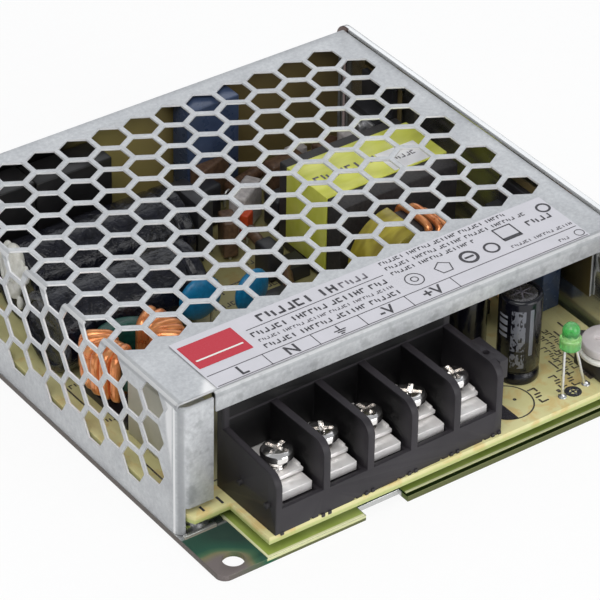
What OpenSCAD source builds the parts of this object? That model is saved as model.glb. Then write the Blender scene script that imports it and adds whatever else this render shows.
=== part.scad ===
// Mesh case switching power supply, open at the terminal end.
// X runs along the terminal row, Y from the terminal row to the rear, Z up.
// The origin is the middle of the footprint on the mounting surface.

/* [Case] */
// Width of the base sheet along the terminal row
case_w = 97; // [94:0.5:110]
// Depth of the base sheet from the terminal edge to the rear
case_d = 99; // [97:0.5:112]
// Height of the right wall
case_h = 30; // [30:0.5:40]
// Thickness of the aluminium sheet
base_t = 1.2; // [1:0.1:1.5]
// Radius of the base corners
corner_r = 2; // [0.5:0.5:4]
// Diameter of the tab hole in the base
tab_hole_d = 4; // [3:0.1:5]
// Distance of the tab hole from the left edge of the base
tab_hole_x = 4.7; // [3.5:0.1:5.5]
// Distance of the tab hole from the front edge of the base
tab_hole_y = 3.4; // [3:0.1:5]
// Diameter of the threaded mounting holes in base and wall
mount_d = 3; // [2.5:0.1:3.5]
// Spacing of the threaded holes along the base
mount_pitch = 74; // [60:1:80]

/* [Cover] */
// Thickness of the perforated cover sheet
cover_t = 0.6; // [0.5:0.05:0.7]
// Distance of the cover front from the front edge of the base
cover_front = 12.75; // [12:0.25:16]
// Distance of the cover rear from the rear edge of the base
cover_rear_gap = 2.6; // [1.5:0.1:4]
// Drop of the cover top below the top edge of the right wall
cover_drop = 0.4; // [0.2:0.1:1]
// Gap between the cover and the right wall
cover_gap = 0.3; // [0.2:0.05:0.5]
// Outer radius of the long bends
bend_r = 0.9; // [0.8:0.1:1.2]
// Outer radius of the front left bend
post_r = 2.6; // [1.5:0.1:3]
// Width of the front left return
post_w = 7.55; // [6:0.25:8]
// Height of the front flange
flange_h = 4.2; // [2:0.1:5]
// Distance between neighbouring hexagonal holes
hex_pitch = 7.0817; // [6.6:0.1:8]
// Width across the flats of one hexagonal hole
hex_af = 5.9; // [4.6:0.1:6]
// Plain band behind the front edge of the cover
band_front = 18.3; // [16:0.5:24]
// Plain band along the rear edge of the cover
band_rear = 3.2; // [3:0.1:5]
// Plain band along the right edge of the cover
band_right = 3; // [2:0.5:8]

/* [Board] */
// Height of the underside of the board above the mounting surface
board_z = 3.8; // [3.6:0.1:5]
// Thickness of the board
board_t = 1.6; // [1.2:0.1:2]
// Depth of the front left corner cut out of the board
board_cut_y = 11.8; // [11.5:0.1:12]
// Width of the front left corner cut out of the board
board_cut_x = 9.9; // [9.5:0.1:10]
// Thickness of the insulation film
film_t = 0.2; // [0.1:0.05:0.3]

/* [Terminals] */
// Number of terminals
bays = 5; // [3:1:5]
// Distance between neighbouring terminals
bay_pitch = 9.5; // [9:0.1:9.6]
// Thickness of the partitions
part_t = 1.4; // [1:0.1:1.6]
// Depth of the terminal housing
housing_d = 17; // [16.5:0.25:18]
// Height of the partitions above the board
part_h = 14.9; // [14.5:0.1:18]
// Height of the housing floor above the board
floor_h = 5; // [4.5:0.1:5.5]
// Thickness of the terminal plates
plate_t = 1; // [0.8:0.1:1.2]
// Width of the terminal plates
plate_w = 6.4; // [5.6:0.1:6.8]
// Diameter of the terminal screws
screw_d = 3.5; // [3:0.1:4]
// Diameter of the screw heads
head_d = 6; // [5.5:0.1:6.4]
// Running clearance of the screws in plates and washers
run_fit = 0.05; // [0.03:0.01:0.08]

/* [Components] */
// Diameter of the bulk capacitors
bulk_d = 15.6; // [14:0.2:15.8]
// Diameter of the output capacitors
out_cap_d = 8; // [6:0.5:8]
// Height of the output capacitors
out_cap_h = 18.2; // [16:0.1:20.5]
// Width of the transformer
xfmr_w = 28; // [24:0.5:28]
// Depth of the transformer core
xfmr_d = 19.5; // [17:0.5:20]
// Height of the transformer core
xfmr_h = 19; // [15:0.5:20]
// Outer diameter of the choke ring
ring_d = 15.5; // [14:0.5:17]
// Diameter of the lamp
lamp_d = 3.2; // [2:0.1:3.4]
// Diameter of the trimmer rotor
trim_d = 9.6; // [7:0.2:9.8]

/* [Hidden] */
$fn = 48;
eps = 0.01;
x0 = -case_w / 2;
x1 = case_w / 2;
y0 = -case_d / 2;
y1 = case_d / 2;
// Cover planes
cov_top = case_h - cover_drop;
cov_x1 = x1 - base_t - cover_gap;
cov_y0 = y0 + cover_front;
cov_y1 = y1 - cover_rear_gap;
cov_z0 = base_t;
// Hexagon sizes
hex_r = hex_af / sqrt(3);
row_p = hex_pitch * 0.881;
// Board planes and edges
bt = board_z + board_t;
bd_x0 = x0 + cover_t + 0.5;
bd_x1 = cov_x1 - 1.4;
bd_y0 = y0 + 0.25;
bd_y1 = cov_y1 - cover_t - 0.8;
// Terminal row
hs_x0 = x0 + 11.8;
hs_w = bays * bay_pitch + part_t;
hs_x1 = hs_x0 + hs_w;
hs_y0 = y0 + 1;
hs_y1 = hs_y0 + housing_d;
floor_z = bt + floor_h;
plate_z = floor_z + 0.3;
plate_top = plate_z + plate_t;
washer_gap = 0.4;
washer_t = 0.8;
washer_z = plate_top + washer_gap;
washer_w = plate_w + 0.2;
screw_y = hs_y0 + 7.5;
head_z = washer_z + washer_t + 1.0;
head_h = 2.6;
function bay_x(k) = hs_x0 + part_t / 2 + bay_pitch * (k - 0.5);

// Rod of diameter d from point p to point q
module rod(p, q, d) {
    v = q - p;
    l = norm(v);
    translate(p)
        rotate([0, acos(v[2] / l), atan2(v[1], v[0])])
            cylinder(d = d, h = l, $fn = 24);
}

module box(x, y, z, dx, dy, dz) {
    translate([x, y, z]) cube([dx, dy, dz]);
}

// Flat shape in the YZ plane, drawn as (y, z), pushed along X
module along_x(xa, xb) {
    translate([xa, 0, 0])
        rotate([90, 0, 90])
            linear_extrude(height = xb - xa) children();
}

// Flat shape in the XZ plane, drawn as (x, z), pushed along Y
module along_y(ya, yb) {
    translate([0, yb, 0])
        rotate([90, 0, 0])
            linear_extrude(height = yb - ya) children();
}

// L section of bent sheet with its corner at the origin, legs along +x and +z
module bent(lx, lz, t, r) {
    difference() {
        union() {
            translate([r, 0]) square([lx - r, t]);
            translate([0, r]) square([t, lz - r]);
            translate([r, r]) intersection() {
                circle(r = r);
                translate([-r, -r]) square(r);
            }
        }
        translate([r, r]) circle(r = r - t);
    }
}

// Base sheet and right wall
module chassis() {
    color([0.80, 0.81, 0.80]) difference() {
        union() {
            along_y(y0, y1) translate([x1, 0]) mirror([1, 0]) bent(case_w, case_h, base_t, base_t + 0.4);
            box(x0 + 0.7, cov_y0 - 0.7, base_t - eps, 6.6, 0.8, 0.8);
        }
        // Rounded base corners on the left
        for (s = [-1, 1]) translate([x0, s * y1, -1]) difference() {
            translate([-1, s > 0 ? -corner_r : -1, 0]) cube([corner_r + 1, corner_r + 1, 3.2]);
            translate([corner_r, -s * corner_r, -1]) cylinder(r = corner_r, h = 6);
        }
        // Rounded top corners of the wall
        for (s = [-1, 1]) translate([x1 - 3, s * y1, case_h]) difference() {
            translate([0, s > 0 ? -3 : -1, -3]) cube([5, 4, 4]);
            translate([-1, -s * 3, -3]) rotate([0, 90, 0]) cylinder(r = 3, h = 8);
        }
        // Notch in the front edge
        box(x0 + 30.5, y0 - 1, -1, 9, 3.6, 4);
        // Tab hole
        translate([x0 + tab_hole_x, y0 + tab_hole_y, -1]) cylinder(d = tab_hole_d, h = 4);
        // Threaded holes in the base
        for (sx = [-1, 1]) for (sy = [-1, 1])
            translate([sx * mount_pitch / 4, sy * mount_pitch / 2 + 2, -1]) cylinder(d = mount_d, h = 4);
        // Threaded holes in the wall
        for (sy = [-1, 1])
            translate([x1 - 3, sy * mount_pitch / 2, case_h / 2]) rotate([0, 90, 0]) cylinder(d = mount_d, h = 5);
        // Seats of the flat head cover screws
        for (y = screw_ys) translate([x1, y, screw_zc]) rotate([0, -90, 0]) flat_screw(0.02);
    }
}

// Countersunk screw pointing up from z = 0, grown by g
screw_ys = [cov_y0 + 9.8, cov_y1 - 12];
screw_zc = cov_top - 5;
module flat_screw(g) {
    translate([0, 0, -g]) cylinder(r1 = 1.9 + g, r2 = 1.25 + g, h = 0.7);
    cylinder(r = 1.25 + g, h = base_t + cover_gap + cover_t + 0.1);
}

// Row r of the hexagon lattice counts from the front, odd rows are shifted
row_y0 = cov_y0 + band_front + hex_r - 0.9;
rows = floor((cov_y1 - band_rear - row_y0 - hex_r) / row_p + 1.001);
lat_x = x0 + 1.08 + 0.0005;
function row_y(r) = row_y0 + r * row_p;
function row_dx(r) = r % 2 == 0 ? hex_pitch * 0.5 : 0;
// Rows of the side sheet that start before the top rows
side_more = 2;
cols = floor((cov_x1 - band_right - lat_x - hex_af / 2) / hex_pitch + 1.001);
module hexagon() {
    rotate(30) circle(r = hex_r, $fn = 6);
}

// Top sheet with its front flange
module cover_top() {
    fx = x0 + post_w;
    color([0.72, 0.73, 0.74]) difference() {
        union() {
            along_x(x0 + bend_r, cov_x1) translate([cov_y0, cov_top]) mirror([0, 1])
                translate([bend_r, 0]) square([cov_y1 - cov_y0 - bend_r, cover_t]);
            along_x(fx, cov_x1) translate([cov_y0, cov_top]) mirror([0, 1])
                bent(bend_r + 2, flange_h, cover_t, bend_r);
        }
        translate([0, 0, cov_top - cover_t - 1]) linear_extrude(height = cover_t + 2) top_holes();
    }
}
module top_holes() {
    for (r = [0 : rows - 1]) for (c = [0 : cols]) {
        hx = lat_x + row_dx(r) + c * hex_pitch;
        if (hx + hex_af / 2 < cov_x1 - band_right + 1) translate([hx, row_y(r)]) hexagon();
    }
}

// Ears folded down inside the right wall, they take the cover screws
module cover_ears() {
    color([0.72, 0.73, 0.74]) difference() {
        for (y = screw_ys) translate([cov_x1 - cover_t, y - 4, bt + 5.6])
            cube([cover_t, 8, cov_top - cover_t - bt - 5.6]);
        for (y = screw_ys) translate([x1, y, screw_zc]) rotate([0, -90, 0]) cylinder(r = 1.27, h = 6);
    }
}

// Left sheet with the long bend and the front left return
module cover_side() {
    sz = cov_top - cov_z0;
    color([0.72, 0.73, 0.74]) difference() {
        union() {
            // Sheet and long bend, meeting the top sheet edge to edge
            along_y(cov_y0 + post_r, cov_y1) translate([x0, cov_z0]) square([cover_t, sz - bend_r]);
            along_y(cov_y0 + bend_r, cov_y1) translate([x0, cov_top]) mirror([0, 1]) intersection() {
                bent(4, 4, cover_t, bend_r);
                square(bend_r);
            }
            // Upright bend and return, with a slit under the top sheet
            translate([0, 0, cov_z0 + 5.7]) linear_extrude(height = sz - 5.7 - cover_t - 0.3)
                translate([x0, cov_y0]) bent(post_w - 0.3, post_r + 1, cover_t, post_r);
            translate([0, 0, cov_z0]) linear_extrude(height = sz - bend_r)
                translate([x0, cov_y0]) intersection() {
                    bent(4, 4, cover_t, post_r);
                    square([post_r * 0.6, post_r + eps]);
                }
            box(x0, cov_y0 + bend_r, cov_top - bend_r - 0.6, cover_t, post_r + 0.5, 0.6);
        }
        for (r = [-side_more : rows - 1]) {
            dz = cov_top - 3.6 - (((r + 100) % 2 == 0) ? 0 : hex_pitch / 2);
            for (c = [0 : 3]) if (dz - c * hex_pitch - hex_af / 2 > cov_z0 + 2.4)
                along_x(x0 - 1, x0 + 3) translate([row_y(r), dz - c * hex_pitch]) rotate(30) hexagon();
            // Hole that runs over the long bend
            if ((r + 100) % 2 == 1 && r > 0 && r < rows)
                along_x(x0 - 1, lat_x) translate([row_y(r), 0])
                    polygon([[-hex_r / 2, cov_top - 3.03], [hex_r / 2, cov_top - 3.03], [hex_r, cov_top + 1],
                        [-hex_r, cov_top + 1]]);
        }
    }
}

// Rear sheet, folded down from the top sheet
module cover_rear() {
    color([0.72, 0.73, 0.74])
        box(x0 + bend_r, cov_y1 - cover_t, cov_z0, cov_x1 - x0 - bend_r, cover_t, cov_top - cover_t - cov_z0);
}

// Brown film that lines the rear sheet
module rear_liner() {
    film = 0.25;
    color([0.36, 0.31, 0.14])
        box(x0 + 2, cov_y1 - cover_t - film, cov_z0 + 0.8, cov_x1 - x0 - 3.6, film, cov_top - cover_t - cov_z0 - 1.2);
}

module cover_screws() {
    color([0.55, 0.55, 0.56])
        for (y = screw_ys) translate([x1, y, screw_zc]) rotate([0, -90, 0]) flat_screw(0);
}

// Printed label on the plain front band
module rating_label() {
    w = case_w - 15.7;
    color([0.88, 0.88, 0.90])
        box(x0 + 8.4, cov_y0 + bend_r, cov_top, w, 15.6 - bend_r, 0.1);
}

// Film between base and board
module insulation_film() {
    color([0.86, 0.90, 0.80, 0.7]) difference() {
        translate([0, 0, base_t]) linear_extrude(height = film_t) polygon([
            [hs_x0 - 2.2, y0 + 0.1], [x0 + 30.2, y0 + 0.1], [x0 + 30.2, y0 + 3], [x0 + 39.8, y0 + 3],
            [x0 + 39.8, y0 + 1.6], [bd_x1, y0 + 1.6], [bd_x1, bd_y1], [bd_x0 + 0.6, bd_y1],
            [bd_x0 + 0.6, cov_y0 + 2], [hs_x0 - 2.2, cov_y0 + 2]]);
        for (p = posts) translate([p[0], p[1], 0]) cylinder(r = 2.9, h = 5);
        for (sx = [-1, 1]) for (sy = [-1, 1])
            translate([sx * mount_pitch / 4, sy * mount_pitch / 2 + 2, 0]) cylinder(d = mount_d + 1, h = 5);
    }
}

// Board supports
posts = [[bd_x0 + 4.2, bd_y0 + board_cut_y + 5], [bd_x0 + 4.2, bd_y1 - 4.2],
    [bd_x1 - 4.2, bd_y1 - 4.2], [bd_x1 - 4.2, bd_y0 + 13]];
module circuit_board() {
    color([0.80, 0.76, 0.55]) difference() {
        translate([0, 0, board_z]) linear_extrude(height = board_t) polygon([
            [bd_x0 + board_cut_x - 1, bd_y0], [bd_x1, bd_y0], [bd_x1, bd_y1], [bd_x0, bd_y1],
            [bd_x0, bd_y0 + board_cut_y + 3.2], [bd_x0 + 1.6, bd_y0 + board_cut_y],
            [bd_x0 + board_cut_x - 1, bd_y0 + board_cut_y]]);
        for (p = posts) translate([p[0], p[1], board_z - 1]) cylinder(r = 1.6, h = board_t + 2);
    }
}
module standoffs() {
    color([0.75, 0.76, 0.75]) for (p = posts) translate([p[0], p[1], base_t]) difference() {
        cylinder(r = 2.6, h = board_z - base_t);
        translate([0, 0, 0.6]) cylinder(r = 1.3, h = board_z);
    }
}
module board_screws() {
    color([0.7, 0.7, 0.7]) for (p = posts) translate([p[0], p[1], bt]) difference() {
        union() {
            cylinder(r = 2.5, h = 1.5);
            translate([0, 0, -board_t - 1]) cylinder(r = 1.25, h = board_t + 1.5);
        }
        for (a = [0, 90]) rotate(a) translate([-1.5, -0.35, 0.7]) cube([3, 0.7, 2]);
    }
}

// Side view of the housing, drawn as (y, z) from its front lower corner
module partition_shape(h) {
    r = 2.8;
    square([housing_d, h - r]);
    translate([r, 0]) square([housing_d - r, h]);
    translate([r, h - r]) circle(r = r);
}
module terminal_housing() {
    color([0.16, 0.155, 0.155]) difference() {
        union() {
            box(hs_x0, hs_y0, bt, hs_w, housing_d, floor_h);
            box(hs_x0, hs_y0, bt, hs_w, 0.9, floor_h + 0.25);
            // Back wall, rising close under the cover
            box(hs_x0, hs_y1 - 1.5, bt, hs_w, 1.5, part_h + 3.9);
            for (k = [0 : bays]) translate([0, hs_y0, bt])
                along_x(hs_x0 + k * bay_pitch, hs_x0 + k * bay_pitch + part_t) partition_shape(part_h);
            // Raised rib on the right end wall
            box(hs_x1 - eps, hs_y0 + 1.2, bt + part_h - 4, 1.8, 8, 4);
            // Pegs on the left end wall
            for (y = [2, 9.9]) translate([hs_x0 - 0.8, hs_y0 + y, bt + 5.5]) rotate([0, 90, 0])
                cylinder(r = 0.6, h = 0.9);
        }
        // Blind hole in the right end wall
        translate([hs_x1 - 0.2, hs_y0 + 4.9, bt + part_h - 2]) cylinder(d = 1.3, h = 3);
        for (k = [1 : bays]) translate([bay_x(k), 0, 0]) {
            // Clearance under the screw tip
            translate([0, screw_y, bt - 1]) cylinder(d = screw_d + 0.8, h = floor_h + 2);
            // Pocket for the bent front of the plate
            box(-plate_w / 2 - 0.3, hs_y0 + 1.2, floor_z - 0.9, plate_w + 0.6, 1.6, 2);
            // Slot for the plate in the back wall
            box(-plate_w / 2 - 0.3, hs_y1 - 3, plate_z - 0.3 - eps, plate_w + 0.6, 4, plate_t + 0.6);
        }
        // Small vents along the lower front edge
        for (k = [1 : bays]) for (s = [-0.9, 0.9])
            box(hs_x0 + k * bay_pitch - 1.6 + s - 0.3, hs_y0 - 1, bt - 1, 0.6, 1.6, 1.4);
    }
}

// Bent contact plates with a leg down to the board
module terminal_plates() {
    color([0.86, 0.85, 0.84]) for (k = [1 : bays]) translate([bay_x(k), 0, 0]) difference() {
        union() {
            box(-plate_w / 2, hs_y0 + 1.5, plate_z, plate_w, housing_d - 0.2, plate_t);
            box(-plate_w / 2, hs_y0 + 1.5, plate_z - 0.8, plate_w, 0.9, 0.8 + plate_t);
            box(-plate_w / 2, hs_y1 + 0.4, bt, plate_w, 0.9, plate_z - bt + plate_t);
        }
        translate([0, screw_y, plate_z - 1]) cylinder(d = screw_d + 2 * run_fit, h = plate_t + 2);
    }
}

// Square clamp washer with turned up sides
module clamp_washer(k) {
    if (k <= bays) color([0.82, 0.81, 0.80]) translate([bay_x(k), screw_y, washer_z]) difference() {
        union() {
            translate([-washer_w / 2, -washer_w / 2, 0]) cube([washer_w, washer_w, washer_t]);
            for (s = [-1, 1]) translate([s * (washer_w / 2 - 0.3) - 0.3, -washer_w / 2 + 0.8, 0])
                cube([0.6, washer_w - 1.6, washer_t + 0.35]);
        }
        translate([0, 0, -1]) cylinder(d = screw_d + 2 * run_fit, h = washer_t + 2);
    }
}

// Pan head screw with a cross recess
module terminal_screw(k) {
    tip = bt + 0.9;
    if (k <= bays) color([0.86, 0.85, 0.84]) translate([bay_x(k), screw_y, 0]) difference() {
        union() {
            translate([0, 0, tip]) cylinder(d = screw_d, h = head_z - tip + eps);
            translate([0, 0, head_z]) rotate_extrude() polygon([[0, 0], [screw_d / 2, 0], [head_d / 2, 1.0],
                [head_d / 2, head_h - 0.5], [head_d / 2 - 0.25, head_h - 0.15], [head_d / 2 - 0.8, head_h], [0, head_h]]);
        }
        for (a = [25, 115]) translate([0, 0, head_z + head_h - 1.1]) rotate(a)
            translate([-head_d * 0.36, -0.45, 0]) cube([head_d * 0.72, 0.9, 3]);
    }
}

// Transformer
tx0 = cov_x1 - 5.5 - xfmr_w;
ty0 = 2.3;
bob_h = 2.6;
strap_y = 4;
strap_d = xfmr_d - 6.8;
module transformer_core() {
    color([0.12, 0.12, 0.12])
        box(tx0 + 0.35, ty0, bt + bob_h, xfmr_w - 0.7, xfmr_d, xfmr_h - bob_h);
}
module transformer_tape() {
    color([0.80, 0.80, 0.22]) along_y(ty0 + strap_y, ty0 + strap_y + strap_d) difference() {
        translate([tx0, bt + bob_h]) square([xfmr_w, xfmr_h - bob_h + 0.35]);
        translate([tx0 + 0.35, bt + bob_h - 1]) square([xfmr_w - 0.7, xfmr_h - bob_h + 1]);
    }
}
module transformer_bobbin() {
    color([0.10, 0.10, 0.10]) {
        box(tx0 + 0.4, ty0 + 0.6, bt + 0.6, xfmr_w - 0.8, xfmr_d - 1.2, bob_h - 0.6);
        for (i = [0 : 4]) for (s = [0, 1])
            box(tx0 + 3 + i * (xfmr_w - 7) / 4, ty0 + 1 + s * (xfmr_d - 3), bt, 1, 1, 0.6 + eps);
    }
}
module transformer_sticker() {
    color([0.9, 0.9, 0.92])
        box(tx0 + xfmr_w - 12, ty0 + strap_y + 0.3, bt + xfmr_h + 0.35, 9, 6.4, 0.1);
}

// Choke ring lying flat on a raised base, with two windings
ring_x = x0 + 13.2;
ring_y = -2.9;
ring_z = bt + 6.6;
ring_t = 6;
module ring_core() {
    color([0.05, 0.30, 0.20]) translate([ring_x, ring_y, ring_z]) difference() {
        cylinder(d = ring_d, h = ring_t);
        translate([0, 0, -1]) cylinder(d = ring_d * 0.6, h = ring_t + 2);
    }
}
// Turns of wire d thick around a ring section, n turns about angle a0
module turns(d, n, step, a0, ro, ri, t) {
    w = d * 0.6;
    hi = (ri - w) * tan(step / 2) * 0.94;
    for (i = [0 : n - 1]) rotate([90, 0, 0]) difference() {
        rotate(a0 + (i - (n - 1) / 2) * step) linear_extrude(height = t + 2 * w, center = true)
            polygon([[ri - w, -hi], [ro, -d / 2], [ro + w, -d / 2], [ro + w, d / 2], [ro, d / 2], [ri - w, hi]]);
        difference() {
            cylinder(r = ro + 0.02, h = t + 0.04, center = true);
            cylinder(r = ri - 0.02, h = t + 1, center = true);
        }
    }
}
module ring_windings() {
    color([0.80, 0.42, 0.24]) translate([ring_x, ring_y, ring_z + ring_t / 2]) rotate([-90, 0, 0])
        for (s = [0, 180]) turns(1.8, 6, 14, s, ring_d / 2, ring_d * 0.3, ring_t);
}
module ring_base() {
    color([0.1, 0.1, 0.1]) {
        box(ring_x - 6.5, ring_y - 7.5, bt, 13, 15, 1.6);
        for (s = [-1, 1]) box(ring_x - 2, ring_y + s * 6.2 - 1.2, bt + 1.6 - eps, 4, 2.4, 5 + eps);
    }
}

// Box film capacitor behind the front left corner
module film_capacitor() {
    color([0.66, 0.64, 0.56]) difference() {
        box(x0 + 6.4, cov_y0 + 9.7, bt, 6.2, 16, 14.2);
        box(x0 + 7.4, cov_y0 + 10.7, bt - 1, 4.2, 14, 1.5);
    }
}

// Two bulk capacitors lying along X in black sleeves
bulk_rear = bd_y1 - 8.4 - bulk_d / 2;
bulk_y = [bulk_rear - bulk_d - 0.3, bulk_rear];
bulk_x0 = [x0 + 4.8, x0 + 8.5];
bulk_x1 = [x0 + 36, x0 + 43.6];
bulk_z = bt + bulk_d / 2 + 0.1;
module lying_can(xa, xb, y, d) {
    translate([xa, y, bulk_z]) rotate([0, 90, 0]) rotate_extrude() polygon([[0, 0.6], [d / 2 - 1.6, 0.6], [d / 2 - 1.6, 0],
        [d / 2 - 0.5, 0], [d / 2, 0.6], [d / 2, xb - xa - 4], [d / 2 - 0.5, xb - xa - 3.4], [d / 2 - 0.5, xb - xa - 2.8],
        [d / 2, xb - xa - 2.2], [d / 2, xb - xa - 0.4], [d / 2 - 0.4, xb - xa], [0, xb - xa]]);
}
module bulk_capacitors() {
    color([0.10, 0.10, 0.11]) for (i = [0, 1]) lying_can(bulk_x0[i], bulk_x1[i], bulk_y[i], bulk_d);
}
module glue_bead() {
    color([0.9, 0.9, 0.88]) translate([bulk_x0[1], bulk_rear - 2.4, bulk_z + 3]) rotate([0, -90, 0])
        rotate_extrude() polygon([[0, 0], [3, 0], [2.8, 1], [2.2, 2], [1.2, 2.7], [0, 2.9]]);
}

// Standing capacitors at the output: x, y, diameter, height
cans = [[x1 - 22.8, y0 + 13.4, out_cap_d, out_cap_h], [hs_x1 + 8.4, hs_y1 + 4.6, out_cap_d, 19],
    [x1 - 14, y0 + 25, 5, 11]];
module standing_can(d, h) {
    rotate_extrude() polygon([[0, 0], [d / 2 - 0.4, 0], [d / 2, 0.4], [d / 2, 1.6], [d / 2 - 0.35, 2.1],
        [d / 2 - 0.35, 2.5], [d / 2, 3], [d / 2, h - 0.5], [d / 2 - 0.4, h], [d / 2 - 0.9, h],
        [d / 2 - 0.9, h - 0.4], [0, h - 0.4]]);
}
module output_capacitors() {
    color([0.10, 0.10, 0.12]) for (c = cans) translate([c[0], c[1], bt]) standing_can(c[2], c[3]);
}
module capacitor_tops() {
    color([0.78, 0.78, 0.80]) for (c = cans) translate([c[0], c[1], bt + c[3] - 0.4]) difference() {
        cylinder(r = c[2] / 2 - 0.9, h = 0.3);
        for (a = [0, 60, 120]) rotate(a) translate([-c[2] * 0.25, -0.1, 0.15]) cube([c[2] * 0.5, 0.2, 1]);
    }
}

// Coated discs standing on two wires: x, y, diameter, thickness, turn
discs = [[-17.4, 2.4, 9, 3.4, 0], [-8.2, -0.7, 8.6, 3.4, 15]];
module disc_on_wires(d, t, up = 1.6) {
    translate([0, 0, d / 2 + up]) rotate([90, 0, 0]) rotate_extrude() polygon([[0, -t / 2], [d / 2 - 1.4, -t / 2],
        [d / 2 - 0.5, -t / 2 + 0.5], [d / 2, 0], [d / 2 - 0.5, t / 2 - 0.5], [d / 2 - 1.4, t / 2], [0, t / 2]]);
    for (s = [-1, 1]) translate([s * d * 0.28 - 0.3, -0.3, 0]) cube([0.6, 0.6, up + 1.8]);
}
module disc_capacitors() {
    color([0.05, 0.40, 0.62]) for (c = discs) translate([c[0], c[1], bt]) rotate(c[4]) disc_on_wires(c[2], c[3], 7);
}
module thermistor() {
    color([0.12, 0.20, 0.14]) translate([-27, -20, bt]) rotate(80) disc_on_wires(11, 4);
}
module varistor() {
    color([0.10, 0.30, 0.50]) translate([-19.5, -21, bt]) rotate(70) disc_on_wires(12, 4);
}
module fuse() {
    color([0.82, 0.80, 0.72]) translate([-11, -25, bt + 3.4]) rotate([-90, 0, 0]) {
        cylinder(r = 2.6, h = 16);
        for (z = [0, 13]) translate([0, 0, z]) cylinder(r = 3, h = 3);
        for (z = [1.5, 14.5]) translate([-0.4, 2.6, z - 0.4]) cube([0.8, 0.8, 0.8]);
    }
}

// Flat bridge rectifier standing across the board
rect_x = bulk_x1[1] + 1.9;
rect_y = bulk_rear - 5.2;
module bridge_rectifier() {
    color([0.13, 0.13, 0.14]) translate([rect_x, rect_y, bt]) {
        difference() {
            box(0, 0, 2.4, 3.4, 11, 11.6);
            translate([-1, 9.5, 12.5]) cube([6, 3, 3]);
        }
        for (i = [0 : 3]) box(1.2, 1.2 + i * 2.7, 0, 1, 0.8, 2.4 + eps);
    }
}

// Power parts clamped to the right wall
wall_in = x1 - base_t;
pad_t = 0.4;
tr_y = 27;
di_y = cov_y0 + 20.75;
pwr_x = cov_x1 - cover_t - 0.8;
pad_h = cov_top - cover_t - bt - 3;
module to_body(y, w, h) {
    box(pwr_x - 4.4, y, bt + 6, 4.4 - 1.3, w, h * 0.62);
    box(pwr_x - 1.3, y, bt + 6, 1.3, w, h);
    for (i = [0 : 2]) box(pwr_x - 2.6, y + w / 2 - 3 + i * 2.54, bt, 0.6, 0.8, 6 + eps);
}
module power_transistor() {
    color([0.14, 0.14, 0.15]) to_body(tr_y, 10, 15);
}
module output_diode() {
    color([0.14, 0.14, 0.15]) to_body(di_y, 10, 13.6);
}
module insulator_pad() {
    color([0.75, 0.73, 0.70]) for (y = [tr_y, di_y])
        box(pwr_x, y - 0.8, bt + 0.4, pad_t, 11.6, pad_h);
}
module clamp_bars() {
    color([0.72, 0.72, 0.72]) for (y = [tr_y, di_y])
        box(pwr_x - 5.2, y + 1.2, bt + 9.4, 0.8, 7.6, 4.6);
}
module clamp_screws() {
    color([0.6, 0.6, 0.6]) for (y = [tr_y, di_y]) translate([pwr_x - 5.2, y + 5, bt + 11.7])
        rotate([0, -90, 0]) difference() {
            cylinder(r = 2.2, h = 1.4);
            for (a = [0, 90]) rotate(a) translate([-1.4, -0.3, 0.8]) cube([2.8, 0.6, 2]);
        }
}

// Output inductor: upright ring across the row, taped on the left
ind_x = tx0 + 8;
ind_y = ty0 - 9.8;
ind_d = 17.6;
ind_t = 7.6;
ind_c = bt + ind_d / 2 + 1.4;
module inductor_core() {
    color([0.15, 0.14, 0.13]) translate([ind_x, ind_y + ind_t / 2, ind_c]) rotate([90, 0, 0]) difference() {
        cylinder(d = ind_d, h = ind_t);
        translate([0, 0, -1]) cylinder(d = ind_d * 0.45, h = ind_t + 2);
    }
}
module inductor_winding() {
    color([0.72, 0.36, 0.16]) translate([ind_x, ind_y, ind_c])
        turns(1.4, 8, 18, 15, ind_d / 2, ind_d * 0.225, ind_t);
}
module inductor_tape() {
    color([0.68, 0.66, 0.20]) translate([ind_x, ind_y + ind_t / 2 + 0.9, ind_c]) rotate([90, 0, 0]) difference() {
        intersection() {
            cylinder(d = ind_d + 1.8, h = ind_t + 1.8);
            translate([-ind_d, -ind_d, -1]) cube([ind_d - 0.8, 2 * ind_d, ind_t + 4]);
        }
        translate([0, 0, 0.88]) cylinder(d = ind_d + 0.04, h = ind_t + 0.04);
        translate([0, 0, -1]) cylinder(d = ind_d * 0.45, h = ind_t + 4);
    }
}

// Open bottomed box standing on the board
module boxed_part(x, y, dx, dy, dz) {
    difference() {
        box(x, y, bt, dx, dy, dz);
        box(x + 0.9, y + 0.9, bt - 1, dx - 1.8, dy - 1.8, 1.5);
    }
}
// Box capacitors near the rear and beside the right wall
module blue_capacitor() {
    color([0.12, 0.16, 0.30]) {
        boxed_part(tx0 - 7.9, bd_y1 - 5.3, 11.9, 5.1, cov_top - cover_t - bt - 0.6);
        boxed_part(pwr_x - 4.4, cov_y0 + 12.75, 4.2, 7, 15);
    }
}
// Black line filter boxes in the rear left corner
module line_filter() {
    h = cov_top - cover_t - bt - 2;
    color([0.10, 0.10, 0.10]) {
        boxed_part(x0 + 8, bd_y1 - 7.3, 10.8, 7, h);
        boxed_part(x0 + 19.2, bd_y1 - 7.3, 16.5, 7, h - 0.6);
    }
}

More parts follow.
